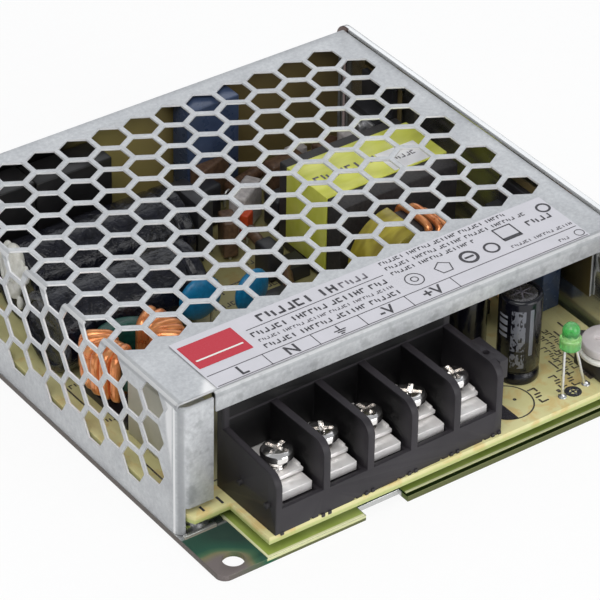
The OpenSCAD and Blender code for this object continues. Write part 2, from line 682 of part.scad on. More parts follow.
// Small packages: x, y, width, depth
chips = [[-2, 2.5, 6.4, 4.6], [tx0 - 7.1, 10, 6.4, 4.8], [8, -26, 5, 4], [28, -19, 5, 4]];
module control_chips() {
    color([0.13, 0.13, 0.13]) for (p = chips) {
        box(p[0], p[1], bt + 0.2, p[2], p[3], 3);
        for (i = [0, 1]) for (s = [0, 1])
            box(p[0] + 0.8 + i * (p[2] - 2.4), p[1] + 0.4 + s * (p[3] - 1.6), bt, 0.8, 0.8, 0.2 + eps);
    }
}
module small_resistors() {
    color([0.72, 0.56, 0.38]) for (p = [[2, -7], [6, -7], [10, -10], [4, -16], [35, -16], [38, -16]])
        translate([p[0], p[1], bt + 1.1]) rotate([-90, 0, 0]) {
            cylinder(r = 0.9, h = 4);
            for (z = [0.3, 3.1]) translate([-0.3, 0.6, z]) cube([0.6, 0.5, 0.6]);
        }
}

// Status lamp on two wires
lamp_x = x1 - 19.2;
lamp_y = y0 + 3.4;
lamp_z = bt + 10.2;
module lamp_lens() {
    r = lamp_d / 2;
    color([0.45, 0.78, 0.42]) translate([lamp_x, lamp_y, lamp_z]) {
        cylinder(r = r + 0.4, h = 1);
        translate([0, 0, 1 - eps]) cylinder(r = r, h = 2.8 + eps);
        translate([0, 0, 3.8 - eps]) intersection() {
            sphere(r = r);
            translate([-5, -5, 0]) cube(10);
        }
    }
}
module lamp_leads() {
    a = [lamp_x - 1.27, lamp_y, lamp_z];
    b = [lamp_x + 1.27, lamp_y, lamp_z];
    color([0.85, 0.85, 0.82]) intersection() {
        union() {
            rod([a[0], a[1] - 0.3, bt - 1], a + [0, 0, 1], 0.56);
            rod([b[0] + 3.4, b[1] + 0.3, bt - 1], b + [-0.3, 0, 1], 0.56);
        }
        box(lamp_x - 5, lamp_y - 3, bt, 12, 6, lamp_z - bt);
    }
}

// Output voltage trimmer
trim_x = x1 - 8.1;
trim_y = y0 + 5.8;
trim_b = 3.3;
module trimmer_base() {
    color([0.12, 0.11, 0.12]) translate([trim_x, trim_y, bt]) difference() {
        translate([-4.2, -4.2, 0]) cube([8.4, 8.4, trim_b]);
        translate([0, 0, 0.8]) cylinder(r = 1.5 + run_fit, h = 6);
    }
}
module trimmer_disc() {
    color([0.86, 0.85, 0.80]) translate([trim_x, trim_y, bt + trim_b]) difference() {
        cylinder(d = trim_d + 0.9, h = 0.8);
        translate([0, 0, -1]) cylinder(r = 1.5 + run_fit, h = 4);
    }
}
module trimmer_rotor() {
    color([0.76, 0.72, 0.69]) translate([trim_x, trim_y, bt]) difference() {
        union() {
            translate([0, 0, 1]) cylinder(r = 1.5, h = trim_b + 0.3);
            translate([0, 0, trim_b + 1.1]) cylinder(d = trim_d, h = 1.7);
        }
        for (a = [40, 130]) rotate(a) translate([-2.4, -0.45, trim_b + 1.8]) cube([4.8, 0.9, 3]);
    }
}

chassis();
cover_top();
cover_side();
cover_rear();
rear_liner();
cover_ears();
cover_screws();
rating_label();
insulation_film();
circuit_board();
standoffs();
board_screws();
terminal_housing();
terminal_plates();
clamp_washer(1);  // clamp_washer_1
clamp_washer(2);  // clamp_washer_2
clamp_washer(3);  // clamp_washer_3
clamp_washer(4);  // clamp_washer_4
clamp_washer(5);  // clamp_washer_5
terminal_screw(1);  // terminal_screw_1
terminal_screw(2);  // terminal_screw_2
terminal_screw(3);  // terminal_screw_3
terminal_screw(4);  // terminal_screw_4
terminal_screw(5);  // terminal_screw_5
transformer_core();
transformer_tape();
transformer_bobbin();
transformer_sticker();
ring_core();
ring_windings();
ring_base();
film_capacitor();
bulk_capacitors();
glue_bead();
output_capacitors();
capacitor_tops();
disc_capacitors();
thermistor();
varistor();
fuse();
bridge_rectifier();
power_transistor();
output_diode();
clamp_bars();
insulator_pad();
clamp_screws();
inductor_core();
inductor_winding();
inductor_tape();
blue_capacitor();
line_filter();
control_chips();
small_resistors();
lamp_lens();
lamp_leads();
trimmer_base();
trimmer_disc();
trimmer_rotor();
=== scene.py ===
import math

import bpy
from mathutils import Matrix, Vector


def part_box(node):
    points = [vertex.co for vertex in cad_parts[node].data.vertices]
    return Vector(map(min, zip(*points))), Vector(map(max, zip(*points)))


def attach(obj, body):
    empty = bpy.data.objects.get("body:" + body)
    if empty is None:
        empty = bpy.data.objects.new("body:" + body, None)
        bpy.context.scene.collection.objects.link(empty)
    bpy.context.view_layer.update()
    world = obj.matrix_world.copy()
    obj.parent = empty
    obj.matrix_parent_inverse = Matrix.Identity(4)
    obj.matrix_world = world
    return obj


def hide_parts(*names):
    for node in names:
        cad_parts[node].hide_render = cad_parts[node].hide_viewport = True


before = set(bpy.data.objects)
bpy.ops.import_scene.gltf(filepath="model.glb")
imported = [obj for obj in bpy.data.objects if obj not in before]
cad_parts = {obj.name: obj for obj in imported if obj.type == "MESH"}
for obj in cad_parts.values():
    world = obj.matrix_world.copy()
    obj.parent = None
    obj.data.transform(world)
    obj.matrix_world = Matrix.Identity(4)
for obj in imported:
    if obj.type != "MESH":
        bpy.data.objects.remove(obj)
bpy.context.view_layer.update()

bpy.ops.object.select_all(action="DESELECT")

# One millimetre in metres
MM = 0.001
# Body that carries everything but the clamps, their screws and the trimmer's rotor
BODY = "supply"
# Height of print above the surface that carries it
PRINT_LIFT = 0.03 * MM
# Clean-up of a CAD mesh before its edges are rounded: join distance and flat angle
MERGE_GAP = 0.002 * MM
FLAT_ANGLE = math.radians(0.6)
# Standing cans: x, y, diameter and height in millimetres
CANS = ((25.7, -36.1, 8, 18.2), (20.6, -26.9, 8, 19), (34.5, -24.5, 5, 11))
# Front left tab of the base: its right edge and the thickness of the sheet
TAB_RIGHT = -37 * MM
BASE_THICKNESS = 1.2 * MM
# Left end of the base's front strip to the right of the notch
STRIP_LEFT = -18 * MM
# Top of the housing's barriers
BARRIER_TOP = 20.3 * MM
# Turn of the housing on the board
HOUSING_TURN = math.radians(1.0)
# Camera that was solved from the photograph; angles in radians, the lens in pixels
CAMERA_AZIMUTH = -0.6336
CAMERA_ELEVATION = 0.61585
CAMERA_ROLL = 0.01801
CAMERA_DISTANCE = 663.358 * MM
CAMERA_SHIFT = (2.75346 * MM, 8.8665 * MM)
FOCAL_PIXELS = 3578.19
PICTURE_PIXELS = 600
SENSOR = 36.0


def low(node):
    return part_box(node)[0]


def high(node):
    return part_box(node)[1]


def middle(node):
    return (low(node) + high(node)) / 2


def srgb(red, green, blue):
    """Linear colour of a swatch that is written from 0 to 255."""
    def linear(level):
        share = level / 255
        return share / 12.92 if share <= 0.04045 else ((share + 0.055) / 1.055) ** 2.4
    return (linear(red), linear(green), linear(blue), 1.0)


# Shader maths
class Wire:
    """An output socket of some nodes; an expression on wires adds its Math nodes."""

    def __init__(self, nodes, socket):
        self.nodes = nodes
        self.socket = socket

    def math(self, operation, *values):
        inputs = dict(enumerate(values))
        return self.nodes.node("ShaderNodeMath", {"operation": operation}, inputs)

    def __add__(self, other):
        return self.math("ADD", self, other)

    __radd__ = __add__

    def __sub__(self, other):
        return self.math("SUBTRACT", self, other)

    def __rsub__(self, other):
        return self.math("SUBTRACT", other, self)

    def __mul__(self, other):
        return self.math("MULTIPLY", self, other)

    __rmul__ = __mul__

    def __truediv__(self, other):
        return self.math("DIVIDE", self, other)

    def share(self, start, end):
        """0 at start and 1 at end, growing evenly."""
        inputs = {"Value": self, "From Min": start, "From Max": end}
        return self.nodes.node("ShaderNodeMapRange", inputs=inputs)

    def between(self, start, end):
        """0 below start, 1 above end, and smooth between them."""
        inputs = {"Value": self, "From Min": start, "From Max": end}
        return self.nodes.node("ShaderNodeMapRange", {"interpolation_type": "SMOOTHSTEP"}, inputs)

    def below(self, start, end):
        """1 below start, 0 above end, and smooth between them."""
        return 1 - self.between(start, end)

    def inside(self, start, end, blur):
        """1 from start to end, fading over blur on both sides."""
        return self.between(start - blur, start) * self.below(end, end + blur)


class Nodes:
    """The nodes of one material or world."""

    def __init__(self, tree):
        self.tree = tree
        self.tree.nodes.clear()

    def node(self, kind, settings=None, inputs=None, output=0):
        """Adds a node: its settings first, then the values or wires of its sockets."""
        made = self.tree.nodes.new(kind)
        for setting, value in (settings or {}).items():
            if setting == "stops":
                self.set_stops(made.color_ramp, value)
            else:
                setattr(made, setting, value)
        for key, value in (inputs or {}).items():
            if isinstance(value, Wire):
                self.tree.links.new(value.socket, made.inputs[key])
            else:
                made.inputs[key].default_value = value
        return Wire(self, made.outputs[output]) if made.outputs else None

    @staticmethod
    def set_stops(ramp, stops):
        while len(ramp.elements) < len(stops):
            ramp.elements.new(1.0)
        for element, (position, colour) in zip(ramp.elements, stops):
            element.position = position
            element.color = colour


class Finish(Nodes):
    """A material that is built up from nodes."""

    def __init__(self, name):
        self.material = bpy.data.materials.new(name)
        self.material.use_nodes = True
        super().__init__(self.material.node_tree)
        self.place = self.node("ShaderNodeTexCoord", output="Object")

    def axes(self):
        split = self.node("ShaderNodeSeparateXYZ", inputs={"Vector": self.place})
        outputs = split.socket.node.outputs
        return [Wire(self, outputs[name]) for name in ("X", "Y", "Z")]

    def stretched(self, stretch):
        return self.node("ShaderNodeMapping", inputs={"Vector": self.place, "Scale": stretch})

    def noise(self, grain, detail=3.0, roughness=0.55, stretch=(1, 1, 1), distortion=0.0):
        """Cloudy noise whose blotches are about grain metres across."""
        inputs = {"Vector": self.stretched(stretch), "Scale": 1 / grain, "Detail": detail,
                  "Roughness": roughness, "Distortion": distortion}
        return self.node("ShaderNodeTexNoise", inputs=inputs)

    def ramp(self, factor, *stops):
        return self.node("ShaderNodeValToRGB", {"stops": stops}, {"Fac": factor})

    def tone(self, cloud, dark, light):
        """From dark to light over the middle of a noise."""
        return self.ramp(cloud, (0.3, dark), (0.7, light))

    def mix(self, factor, first, second):
        """The first colour where factor is 0 and the second where it is 1."""
        return self.node("ShaderNodeMix", {"data_type": "RGBA"}, {0: factor, 6: first, 7: second}, output=2)

    def bump(self, height, depth):
        return self.node("ShaderNodeBump", inputs={"Height": height, "Distance": depth})

    def shade(self, **sockets):
        """Joins the sockets of the surface; an underscore in a name stands for a space."""
        inputs = {name.replace("_", " "): value for name, value in sockets.items()}
        surface = self.node("ShaderNodeBsdfPrincipled", inputs=inputs)
        self.node("ShaderNodeOutputMaterial", inputs={"Surface": surface})
        return self.material


# Finishes
def bare_aluminium():
    """Rolled sheet with fine grain and dull cut edges that carry painted shade and a painted highlight; the
    tab carries a painted reflection of the green board above it, darker inward as painted shade.
    """
    finish = Finish("bare_aluminium")
    x, y, z = finish.axes()
    cloud = finish.noise(14 * MM)
    grain = finish.noise(0.5 * MM, stretch=(1, 0.12, 1))
    colour = finish.tone(cloud, srgb(206, 207, 206), srgb(226, 226, 225))
    left, front, foot = low("chassis")
    floor_top = foot + BASE_THICKNESS

    # The tab: a painted reflection of the green board above it, turning darker inward as painted shade under
    # the board.
    tab = y.below(front + 12 * MM, front + 13 * MM) * z.below(floor_top, floor_top + 1.2 * MM)
    tab = tab * x.below(TAB_RIGHT, TAB_RIGHT + 1 * MM)
    from_left = x.between(left + 2 * MM, left + 11 * MM)
    from_front = y.between(front + 2 * MM, front + 11 * MM)
    wander = finish.noise(7 * MM, detail=1, stretch=(0.5, 1, 1)) * 0.3 - 0.15
    inward = from_left * 0.55 + from_front * 0.6 + wander
    painted_reflection = finish.ramp(inward, (0.16, srgb(112, 103, 101)), (0.29, srgb(118, 114, 82)),
                           (0.37, srgb(60, 98, 66)), (0.48, srgb(10, 74, 54)), (0.8, srgb(4, 52, 40)))
    colour = finish.mix(tab * 0.95, colour, painted_reflection)

    right_part = x.between(STRIP_LEFT, STRIP_LEFT + 2 * MM)
    # Painted shade with a green cast of painted reflection, along the front of the strip right of the notch.
    olive = y.below(front + 1.6 * MM, front + 2.2 * MM) * z.below(floor_top, 2 * MM)
    colour = finish.mix(olive * right_part, colour, srgb(96, 106, 62))

    front_edge = y.below(front + 0.03 * MM, front + 0.1 * MM)
    left_edge = x.below(left + 0.03 * MM, left + 0.1 * MM) * z.below(floor_top, 3 * MM)
    edge = front_edge + left_edge
    rim = z.between(0.62 * MM, 0.7 * MM) * (1 - right_part) * x.between(-39.2 * MM, -38.9 * MM)
    # The cut edges: painted shade and a painted reflection of the green board, with a pale painted highlight
    # (rim) along the top of the tab's edge.
    cut = finish.ramp(x.between(-47 * MM, -28 * MM), (0, srgb(112, 106, 102)), (0.25, srgb(92, 104, 84)),
                      (0.42, srgb(24, 96, 74)), (0.6, srgb(104, 108, 74)))
    colour = finish.mix(edge, colour, finish.mix(rim, cut, srgb(214, 216, 168)))

    clip = z.inside(floor_top + 0.2 * MM, floor_top + 1.4 * MM, 0.1 * MM) * tab
    colour = finish.mix(clip, colour, srgb(158, 148, 134))
    # Painted shade at the rear end of the right wall's inner face.
    rear_gap_shade = x.inside(47.1 * MM, 47.5 * MM, 0.1 * MM) * y.between(45.6 * MM, 45.9 * MM)
    colour = finish.mix(rear_gap_shade, colour, srgb(104, 90, 86))
    metallic = 0.95 - 0.6 * edge - 0.1 * clip - 0.9 * tab * (1 - edge)
    return finish.shade(Base_Color=colour, Metallic=metallic, Roughness=0.15 + 0.14 * cloud,
                        Specular_IOR_Level=0.0, Normal=finish.bump(grain, 0.012 * MM))


def zinc_sheet():
    """Zinc coated sheet: a cloudy tone, fine grain, painted highlights on the cut edges in its holes, painted
    shade inside the ear, and dull folds with painted shade.
    """
    finish = Finish("zinc_sheet")
    x, y, z = finish.axes()
    cloud = finish.noise(8 * MM, detail=4)
    crystals = finish.noise(0.8 * MM, detail=3, roughness=0.7)
    level = 0.45 * cloud + 0.55 * crystals
    colour = finish.ramp(level, (0.32, srgb(176, 178, 181)), (0.5, srgb(194, 196, 198)),
                         (0.68, srgb(212, 214, 215)))
    top, front = high("cover_top").z, low("cover_top").y
    side, return_face = low("cover_side").x, low("cover_side").y

    # Painted highlight on the cut edges of the holes.
    top_holes = z.inside(top - 0.46 * MM, top - 0.16 * MM, 0.02 * MM)
    side_holes = x.inside(side + 0.16 * MM, side + 0.46 * MM, 0.02 * MM)
    side_holes = side_holes * y.between(return_face + 1.6 * MM, return_face + 1.8 * MM)
    hole_edge_highlight = top_holes + side_holes
    colour = finish.mix(hole_edge_highlight, colour, srgb(240, 240, 240))

    ears = low("cover_ears").x
    # Painted shade with a brown cast of painted reflection, on the inner face of the ear.
    inner_ear_shade = x.inside(ears, ears + 0.1 * MM, 0.1 * MM) * z.below(top - 2 * MM, top - 1 * MM)
    colour = finish.mix(inner_ear_shade, colour, srgb(86, 76, 46))

    # Painted shade on the folds, deepest at the front-left corner; they are also rougher and less metallic.
    near_front = y.below(front + 0.9 * MM, front + 1.7 * MM)
    near_left = x.below(side + 0.9 * MM, side + 1.7 * MM)
    near_top = z.between(top - 1.7 * MM, top - 0.9 * MM)
    fold_shade = (near_front * near_top + near_left * near_top + near_front * near_left).between(0.1, 1.0)
    colour = finish.mix(0.55 * fold_shade, colour, srgb(150, 152, 154))
    colour = finish.mix(0.4 * near_front * near_left, colour, srgb(124, 126, 128))

    front_face = y.below(front + 0.3 * MM, front + 0.6 * MM)
    stain = finish.noise(2.8 * MM, detail=3).between(0.5, 0.68) * front_face
    colour = finish.mix(0.45 * stain, colour, srgb(138, 140, 142))
    return finish.shade(Base_Color=colour, Metallic=0.4 - 0.3 * hole_edge_highlight - 0.4 * fold_shade,
                        Roughness=0.34 + 0.2 * level + 0.4 * fold_shade, Normal=finish.bump(crystals, 0.015 * MM))


def even_finish(name, grain, dark, light, roughness, spread, depth=0.0, pattern=None, **sockets):
    """A finish whose tone, roughness and relief follow one noise.

    The grain and the relief's depth are in millimetres. The noise adds up to spread to the
    roughness. The pattern holds further settings of the noise.
    """
    finish = Finish(name)
    cloud = finish.noise(grain * MM, **(pattern or {}))
    colour = finish.tone(cloud, dark, light)
    if depth:
        sockets["Normal"] = finish.bump(cloud, depth * MM)
    return finish.shade(Base_Color=colour, Roughness=roughness + spread * cloud, **sockets)


def wound_tape(name, dark, light):
    """Polyester tape wound in layers: glossy, with the wrinkles of each turn."""
    wrinkles = {"detail": 2, "stretch": (0.5, 1.6, 1), "distortion": 0.3}
    return even_finish(name, 5, dark, light, 0.3, 0.15, depth=0.1, pattern=wrinkles,
                       Coat_Weight=0.2, Coat_Roughness=0.12)


def dipped_coat(name, dark, light):
    """Epoxy dip coat with a soft, slightly pitted gloss."""
    return even_finish(name, 0.8, dark, light, 0.25, 0.2, depth=0.06, pattern={"detail": 4})


def flat_ink(name, colour, fade=0.12):
    """Printed ink that thins out a little in places."""
    finish = Finish(name)
    speckle = finish.noise(0.3 * MM, detail=4)
    thin = finish.mix(fade, colour, srgb(205, 203, 208))
    body = finish.mix(speckle.between(0.45, 0.75), colour, thin)
    return finish.shade(Base_Color=body, Roughness=0.45 + 0.1 * speckle)


def insulation_sheet():
    """Thin yellow-green film with a painted highlight on its cut rims."""
    finish = Finish("insulation_sheet")
    x, y, _ = finish.axes()
    cloud = finish.noise(6 * MM)
    colour = finish.tone(cloud, srgb(150, 170, 72), srgb(178, 192, 104))
    front = low("insulation_film").y + 0.8 * MM * x.between(-10 * MM, -9 * MM)
    # Painted highlight along the cut rims.
    rim = (y - front).below(0.3 * MM, 0.5 * MM)
    rim = rim + x.below(-38.6 * MM, -38.4 * MM) * y.below(-36 * MM, -35 * MM) * (1 - rim)
    colour = finish.mix(rim, colour, srgb(224, 224, 178))
    return finish.shade(Base_Color=colour, Roughness=0.15 + 0.1 * cloud, Alpha=0.92 + 0.08 * rim)


def board_laminate():
    """Pale laminate with amber flux tints and painted shade further in, green on the solder side."""
    finish = Finish("board_laminate")
    x, y, z = finish.axes()
    cloud = finish.noise(9 * MM, detail=4)
    fibre = finish.noise(0.4 * MM, stretch=(1, 0.3, 1))
    flux = finish.noise(4.5 * MM, detail=4, distortion=0.6).between(0.5, 0.66)
    pale = finish.tone(cloud, srgb(214, 207, 146), srgb(226, 220, 166))
    flux_and_shade = finish.mix(0.55 * flux, pale, srgb(214, 176, 104))
    foot = low("circuit_board").z
    solder_side = z.below(foot + 0.02 * MM, foot + 0.06 * MM)
    # Painted shade on the board further in, under the cover.
    inside = x.between(-40 * MM, -30 * MM) * y.between(-34 * MM, -18 * MM)
    flux_and_shade = finish.mix(0.66 * inside, flux_and_shade, srgb(92, 84, 44))
    cut_foot = z.below(foot + 0.5 * MM, foot + 1.1 * MM)
    flux_and_shade = finish.mix(0.7 * cut_foot, flux_and_shade, srgb(176, 190, 112))
    colour = finish.mix(solder_side, flux_and_shade, srgb(12, 74, 50))
    return finish.shade(Base_Color=colour, Roughness=0.36 + 0.2 * cloud,
                        Normal=finish.bump(fibre, 0.01 * MM))


def moulded_plastic(name, dark, light, roughness=0.36):
    """Moulded part with a fine spark-eroded texture."""
    finish = Finish(name)
    cloud = finish.noise(6 * MM)
    texture = finish.noise(0.25 * MM, detail=2)
    colour = finish.tone(cloud, dark, light)
    return finish.shade(Base_Color=colour, Roughness=roughness + 0.16 * cloud,
                        Normal=finish.bump(texture, 0.012 * MM))


def housing_moulding():
    """Black glass-filled moulding, with painted shade down in the bays and on the outer left face."""
    finish = Finish("housing_moulding")
    x, y, z = finish.axes()
    cloud = finish.noise(6 * MM)
    texture = finish.noise(0.25 * MM, detail=2)
    colour = finish.tone(cloud, srgb(40, 37, 41), srgb(50, 47, 51))
    corner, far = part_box("terminal_housing")
    walls = x.between(corner.x + 1.0 * MM, corner.x + 1.6 * MM)
    walls = walls * x.below(far.x - 3.6 * MM, far.x - 3.0 * MM)
    # Painted shade down in the bays, left off the barrier tops, and on the outer left face.
    bay_shade = walls * y.between(corner.y + 0.6 * MM, corner.y + 4 * MM)
    rim = z.inside(BARRIER_TOP - 0.22 * MM, BARRIER_TOP + 0.2 * MM, 0.05 * MM)
    left_face_shade = x.below(corner.x + 0.1 * MM, corner.x + 0.5 * MM)
    colour = finish.mix(0.7 * left_face_shade, colour, srgb(20, 18, 19))
    colour = finish.mix(bay_shade * (1 - rim), colour, srgb(5, 4, 6))
    return finish.shade(Base_Color=colour, Roughness=0.4 + 0.16 * cloud, Specular_IOR_Level=0.35,
                        Normal=finish.bump(texture, 0.012 * MM))


def enamelled_copper():
    """Copper wire under clear enamel, darker where the enamel is thick."""
    finish = Finish("enamelled_copper")
    cloud = finish.noise(2.2 * MM)
    colour = finish.ramp(cloud, (0.25, srgb(214, 112, 54)), (0.7, srgb(250, 172, 108)))
    return finish.shade(Base_Color=colour, Metallic=0.6, Roughness=0.22 + 0.14 * cloud,
                        Coat_Weight=0.5, Coat_Roughness=0.06)


def shrink_sleeve(name="shrink_sleeve", printed=None):
    """Black shrink sleeve with creases, and print on one can where its place is given."""
    finish = Finish(name)
    creases = finish.noise(2.4 * MM, detail=3, distortion=0.8)
    colour = finish.tone(creases, srgb(12, 12, 18), srgb(28, 29, 40))
    depth = 0.5 * MM
    if printed:
        darker = finish.mix(0.6, colour, srgb(4, 4, 8))
        colour = finish.mix(sleeve_print(finish, *printed), darker, srgb(132, 134, 142))
        depth = 0.12 * MM
    return finish.shade(Base_Color=colour, Roughness=0.12 + 0.16 * creases, Specular_IOR_Level=0.35,
                        Coat_Weight=0.2, Coat_Roughness=0.06, Normal=finish.bump(creases, depth))


def sleeve_print(finish, centre_x, centre_y, radius, facing):
    """Share of ink: a broken stripe, a thin stripe and small marks, running up a standing can."""
    x, y, z = finish.axes()
    away_x, away_y = x - centre_x, y - centre_y
    side = (away_x * (-math.sin(facing)) + away_y * math.cos(facing)) / radius
    front = (away_x * math.cos(facing) + away_y * math.sin(facing)).between(0.1 * MM, 0.4 * MM)
    breaks = finish.noise(0.9 * MM, detail=1, stretch=(1.4, 1.4, 0.8)).between(0.4, 0.5)
    stripe = side.inside(-0.42, 0.2, 0.03) * z.inside(9.4 * MM, 21.6 * MM, 0.2 * MM) * breaks
    gap = 1 - z.inside(12.4 * MM, 12.9 * MM, 0.1 * MM)
    thin = side.inside(0.42, 0.56, 0.03) * z.inside(12.0 * MM, 21.8 * MM, 0.2 * MM)
    steps = finish.node("ShaderNodeMath", {"operation": "PINGPONG"}, {0: z, 1: 0.75 * MM})
    marks = side.inside(-0.9, -0.62, 0.04) * z.inside(15.6 * MM, 20.2 * MM, 0.1 * MM)
    marks = marks * steps.between(0.2 * MM, 0.3 * MM)
    return front * (stripe * gap * 0.55 + 0.6 * thin + marks)


def lamp_resin():
    """Clear green epoxy that passes and scatters light, with a painted highlight band around the cup inside,
    painted shade above it, and a faint painted glow.
    """
    finish = Finish("lamp_resin")
    z = finish.axes()[2]
    cloud = finish.noise(0.9 * MM, distortion=0.5)
    height = z.share(low("lamp_lens").z, low("lamp_lens").z + 5.4 * MM)
    # Up the lens: a painted highlight band at the cup and painted shade above it.
    colour = finish.ramp(height + 0.4 * (cloud - 0.5), (0.0, srgb(64, 150, 66)), (0.16, srgb(120, 198, 116)),
                         (0.34, srgb(140, 196, 110)), (0.46, srgb(190, 236, 160)), (0.6, srgb(52, 128, 60)),
                         (0.8, srgb(74, 178, 92)), (1.0, srgb(122, 190, 128)))
    # The weak emission is a painted glow.
    return finish.shade(Base_Color=colour, Roughness=0.04 + 0.04 * cloud, Transmission_Weight=0.55,
                        IOR=1.45, Emission_Color=colour, Emission_Strength=0.1)


def rear_film():
    """Brown film with painted shade, black at the filter boxes, and a painted pool of light, olive, where the
    light falls in.
    """
    finish = Finish("rear_film")
    x = finish.axes()[0]
    cloud = finish.noise(4 * MM)
    # Along x: painted shade to black at the left, a painted pool of olive light, then brown.
    colour = finish.ramp(x.share(-48 * MM, 48 * MM), (0.3, srgb(18, 16, 14)), (0.39, srgb(150, 138, 84)),
                         (0.52, srgb(140, 126, 78)), (0.62, srgb(108, 94, 58)), (1.0, srgb(116, 102, 68)))
    return finish.shade(Base_Color=colour, Roughness=0.25 + 0.2 * cloud)


def floor_paper():
    """White floor: seen directly it is nearly plain white, and it keeps a faint shadow."""
    finish = Finish("floor_paper")
    fibre = finish.noise(3 * MM)
    colour = finish.tone(fibre, srgb(246, 246, 246), srgb(250, 250, 250))
    paper = finish.node("ShaderNodeBsdfDiffuse", inputs={"Color": colour})
    white = finish.node("ShaderNodeEmission", inputs={"Color": (1, 1, 1, 1), "Strength": 1.0})
    camera_ray = finish.node("ShaderNodeLightPath", output="Is Camera Ray")
    mirror_ray = finish.node("ShaderNodeLightPath", output="Is Glossy Ray")
    glass_ray = finish.node("ShaderNodeLightPath", output="Is Transmission Ray")
    seen = 0.88 * camera_ray + 0.5 * mirror_ray + 0.5 * glass_ray
    surface = finish.node("ShaderNodeMixShader", inputs={0: seen, 1: paper, 2: white})
    finish.node("ShaderNodeOutputMaterial", inputs={"Surface": surface})
    return finish.material


BLACK_INK = flat_ink("black_ink", srgb(44, 42, 48))
GREY_INK = flat_ink("grey_ink", srgb(96, 92, 100), fade=0.25)
RED_INK = flat_ink("red_ink", srgb(192, 30, 52), fade=0.04)
WHITE_INK = flat_ink("white_ink", srgb(236, 236, 230), fade=0.05)
BROWN_INK = flat_ink("brown_ink", srgb(66, 56, 44), fade=0.3)
ZINC = zinc_sheet()
ALUMINIUM = bare_aluminium()
# Nickel plate on the screws, nearly a mirror, with faint waves from pressing
NICKEL = even_finish("bright_nickel", 1.4, srgb(236, 232, 228), srgb(252, 250, 248), 0.1, 0.12,
                     depth=0.06, pattern={"detail": 1}, Metallic=1.0)
# White tin on the contact plates and clamps, satin and bright on what faces up
TIN = even_finish("tinned_strip", 1.8, srgb(240, 236, 234), srgb(254, 252, 250), 0.18, 0.12,
                  depth=0.05, pattern={"detail": 2, "stretch": (1, 0.4, 1)}, Metallic=0.3)
TINNED = even_finish("tinned_wire", 0.8, srgb(205, 205, 204), srgb(235, 235, 233), 0.22, 0.15, Metallic=0.9)
SOLDER = even_finish("solder", 0.7, srgb(186, 187, 190), srgb(224, 224, 226), 0.2, 0.2,
                     depth=0.05, Metallic=0.9)
PLAIN_STEEL = even_finish("plain_screws", 1.2, srgb(150, 150, 154), srgb(190, 190, 192), 0.25, 0.2,
                          Metallic=0.9)
SPRING_STEEL = even_finish("spring_steel", 0.5, srgb(170, 170, 172), srgb(205, 205, 206), 0.28, 0.2,
                           pattern={"stretch": (1, 0.2, 1)}, Metallic=0.9)
# Can tops in dark grey: painted shade from the cover's front flange over bare aluminium.
SHADED_CAN_TOP = even_finish("shaded_can_top", 0.5, srgb(96, 94, 96), srgb(132, 130, 131), 0.2, 0.15, Metallic=0.9)
# Satin polyester label with a silver cast
LABEL = even_finish("label_stock", 5, srgb(205, 204, 209), srgb(212, 210, 216), 0.42, 0.1, Metallic=0.15)
FERRITE = even_finish("sintered_ferrite", 0.5, srgb(40, 38, 40), srgb(64, 61, 62), 0.42, 0.25,
                      depth=0.03, pattern={"detail": 5})
GREEN_COAT = even_finish("green_coat", 0.9, srgb(20, 62, 54), srgb(34, 88, 76), 0.25, 0.1, depth=0.05)
SET_GLUE = even_finish("set_glue", 1.4, srgb(205, 203, 192), srgb(232, 231, 224), 0.3, 0.25,
                       depth=0.4, pattern={"detail": 4}, Subsurface_Weight=0.2,
                       Subsurface_Radius=(0.002, 0.002, 0.002), Subsurface_Scale=0.3)
REAR_FILM = rear_film()
BLACK_MOULDING = moulded_plastic("black_moulding", srgb(34, 32, 35), srgb(46, 43, 47))
COPPER = enamelled_copper()
SLEEVE = shrink_sleeve()
BLACK_EPOXY = moulded_plastic("black_epoxy", srgb(34, 34, 38), srgb(50, 50, 54), roughness=0.3)
YELLOW_TAPE = wound_tape("yellow_tape", srgb(212, 217, 70), srgb(232, 233, 116))
BROWN_BODY = dipped_coat("brown_body", srgb(76, 56, 44), srgb(112, 86, 66))
PALE_BODY = dipped_coat("pale_body", srgb(164, 158, 158), srgb(200, 194, 192))
ORANGE_BODY = dipped_coat("orange_body", srgb(190, 66, 32), srgb(214, 86, 44))

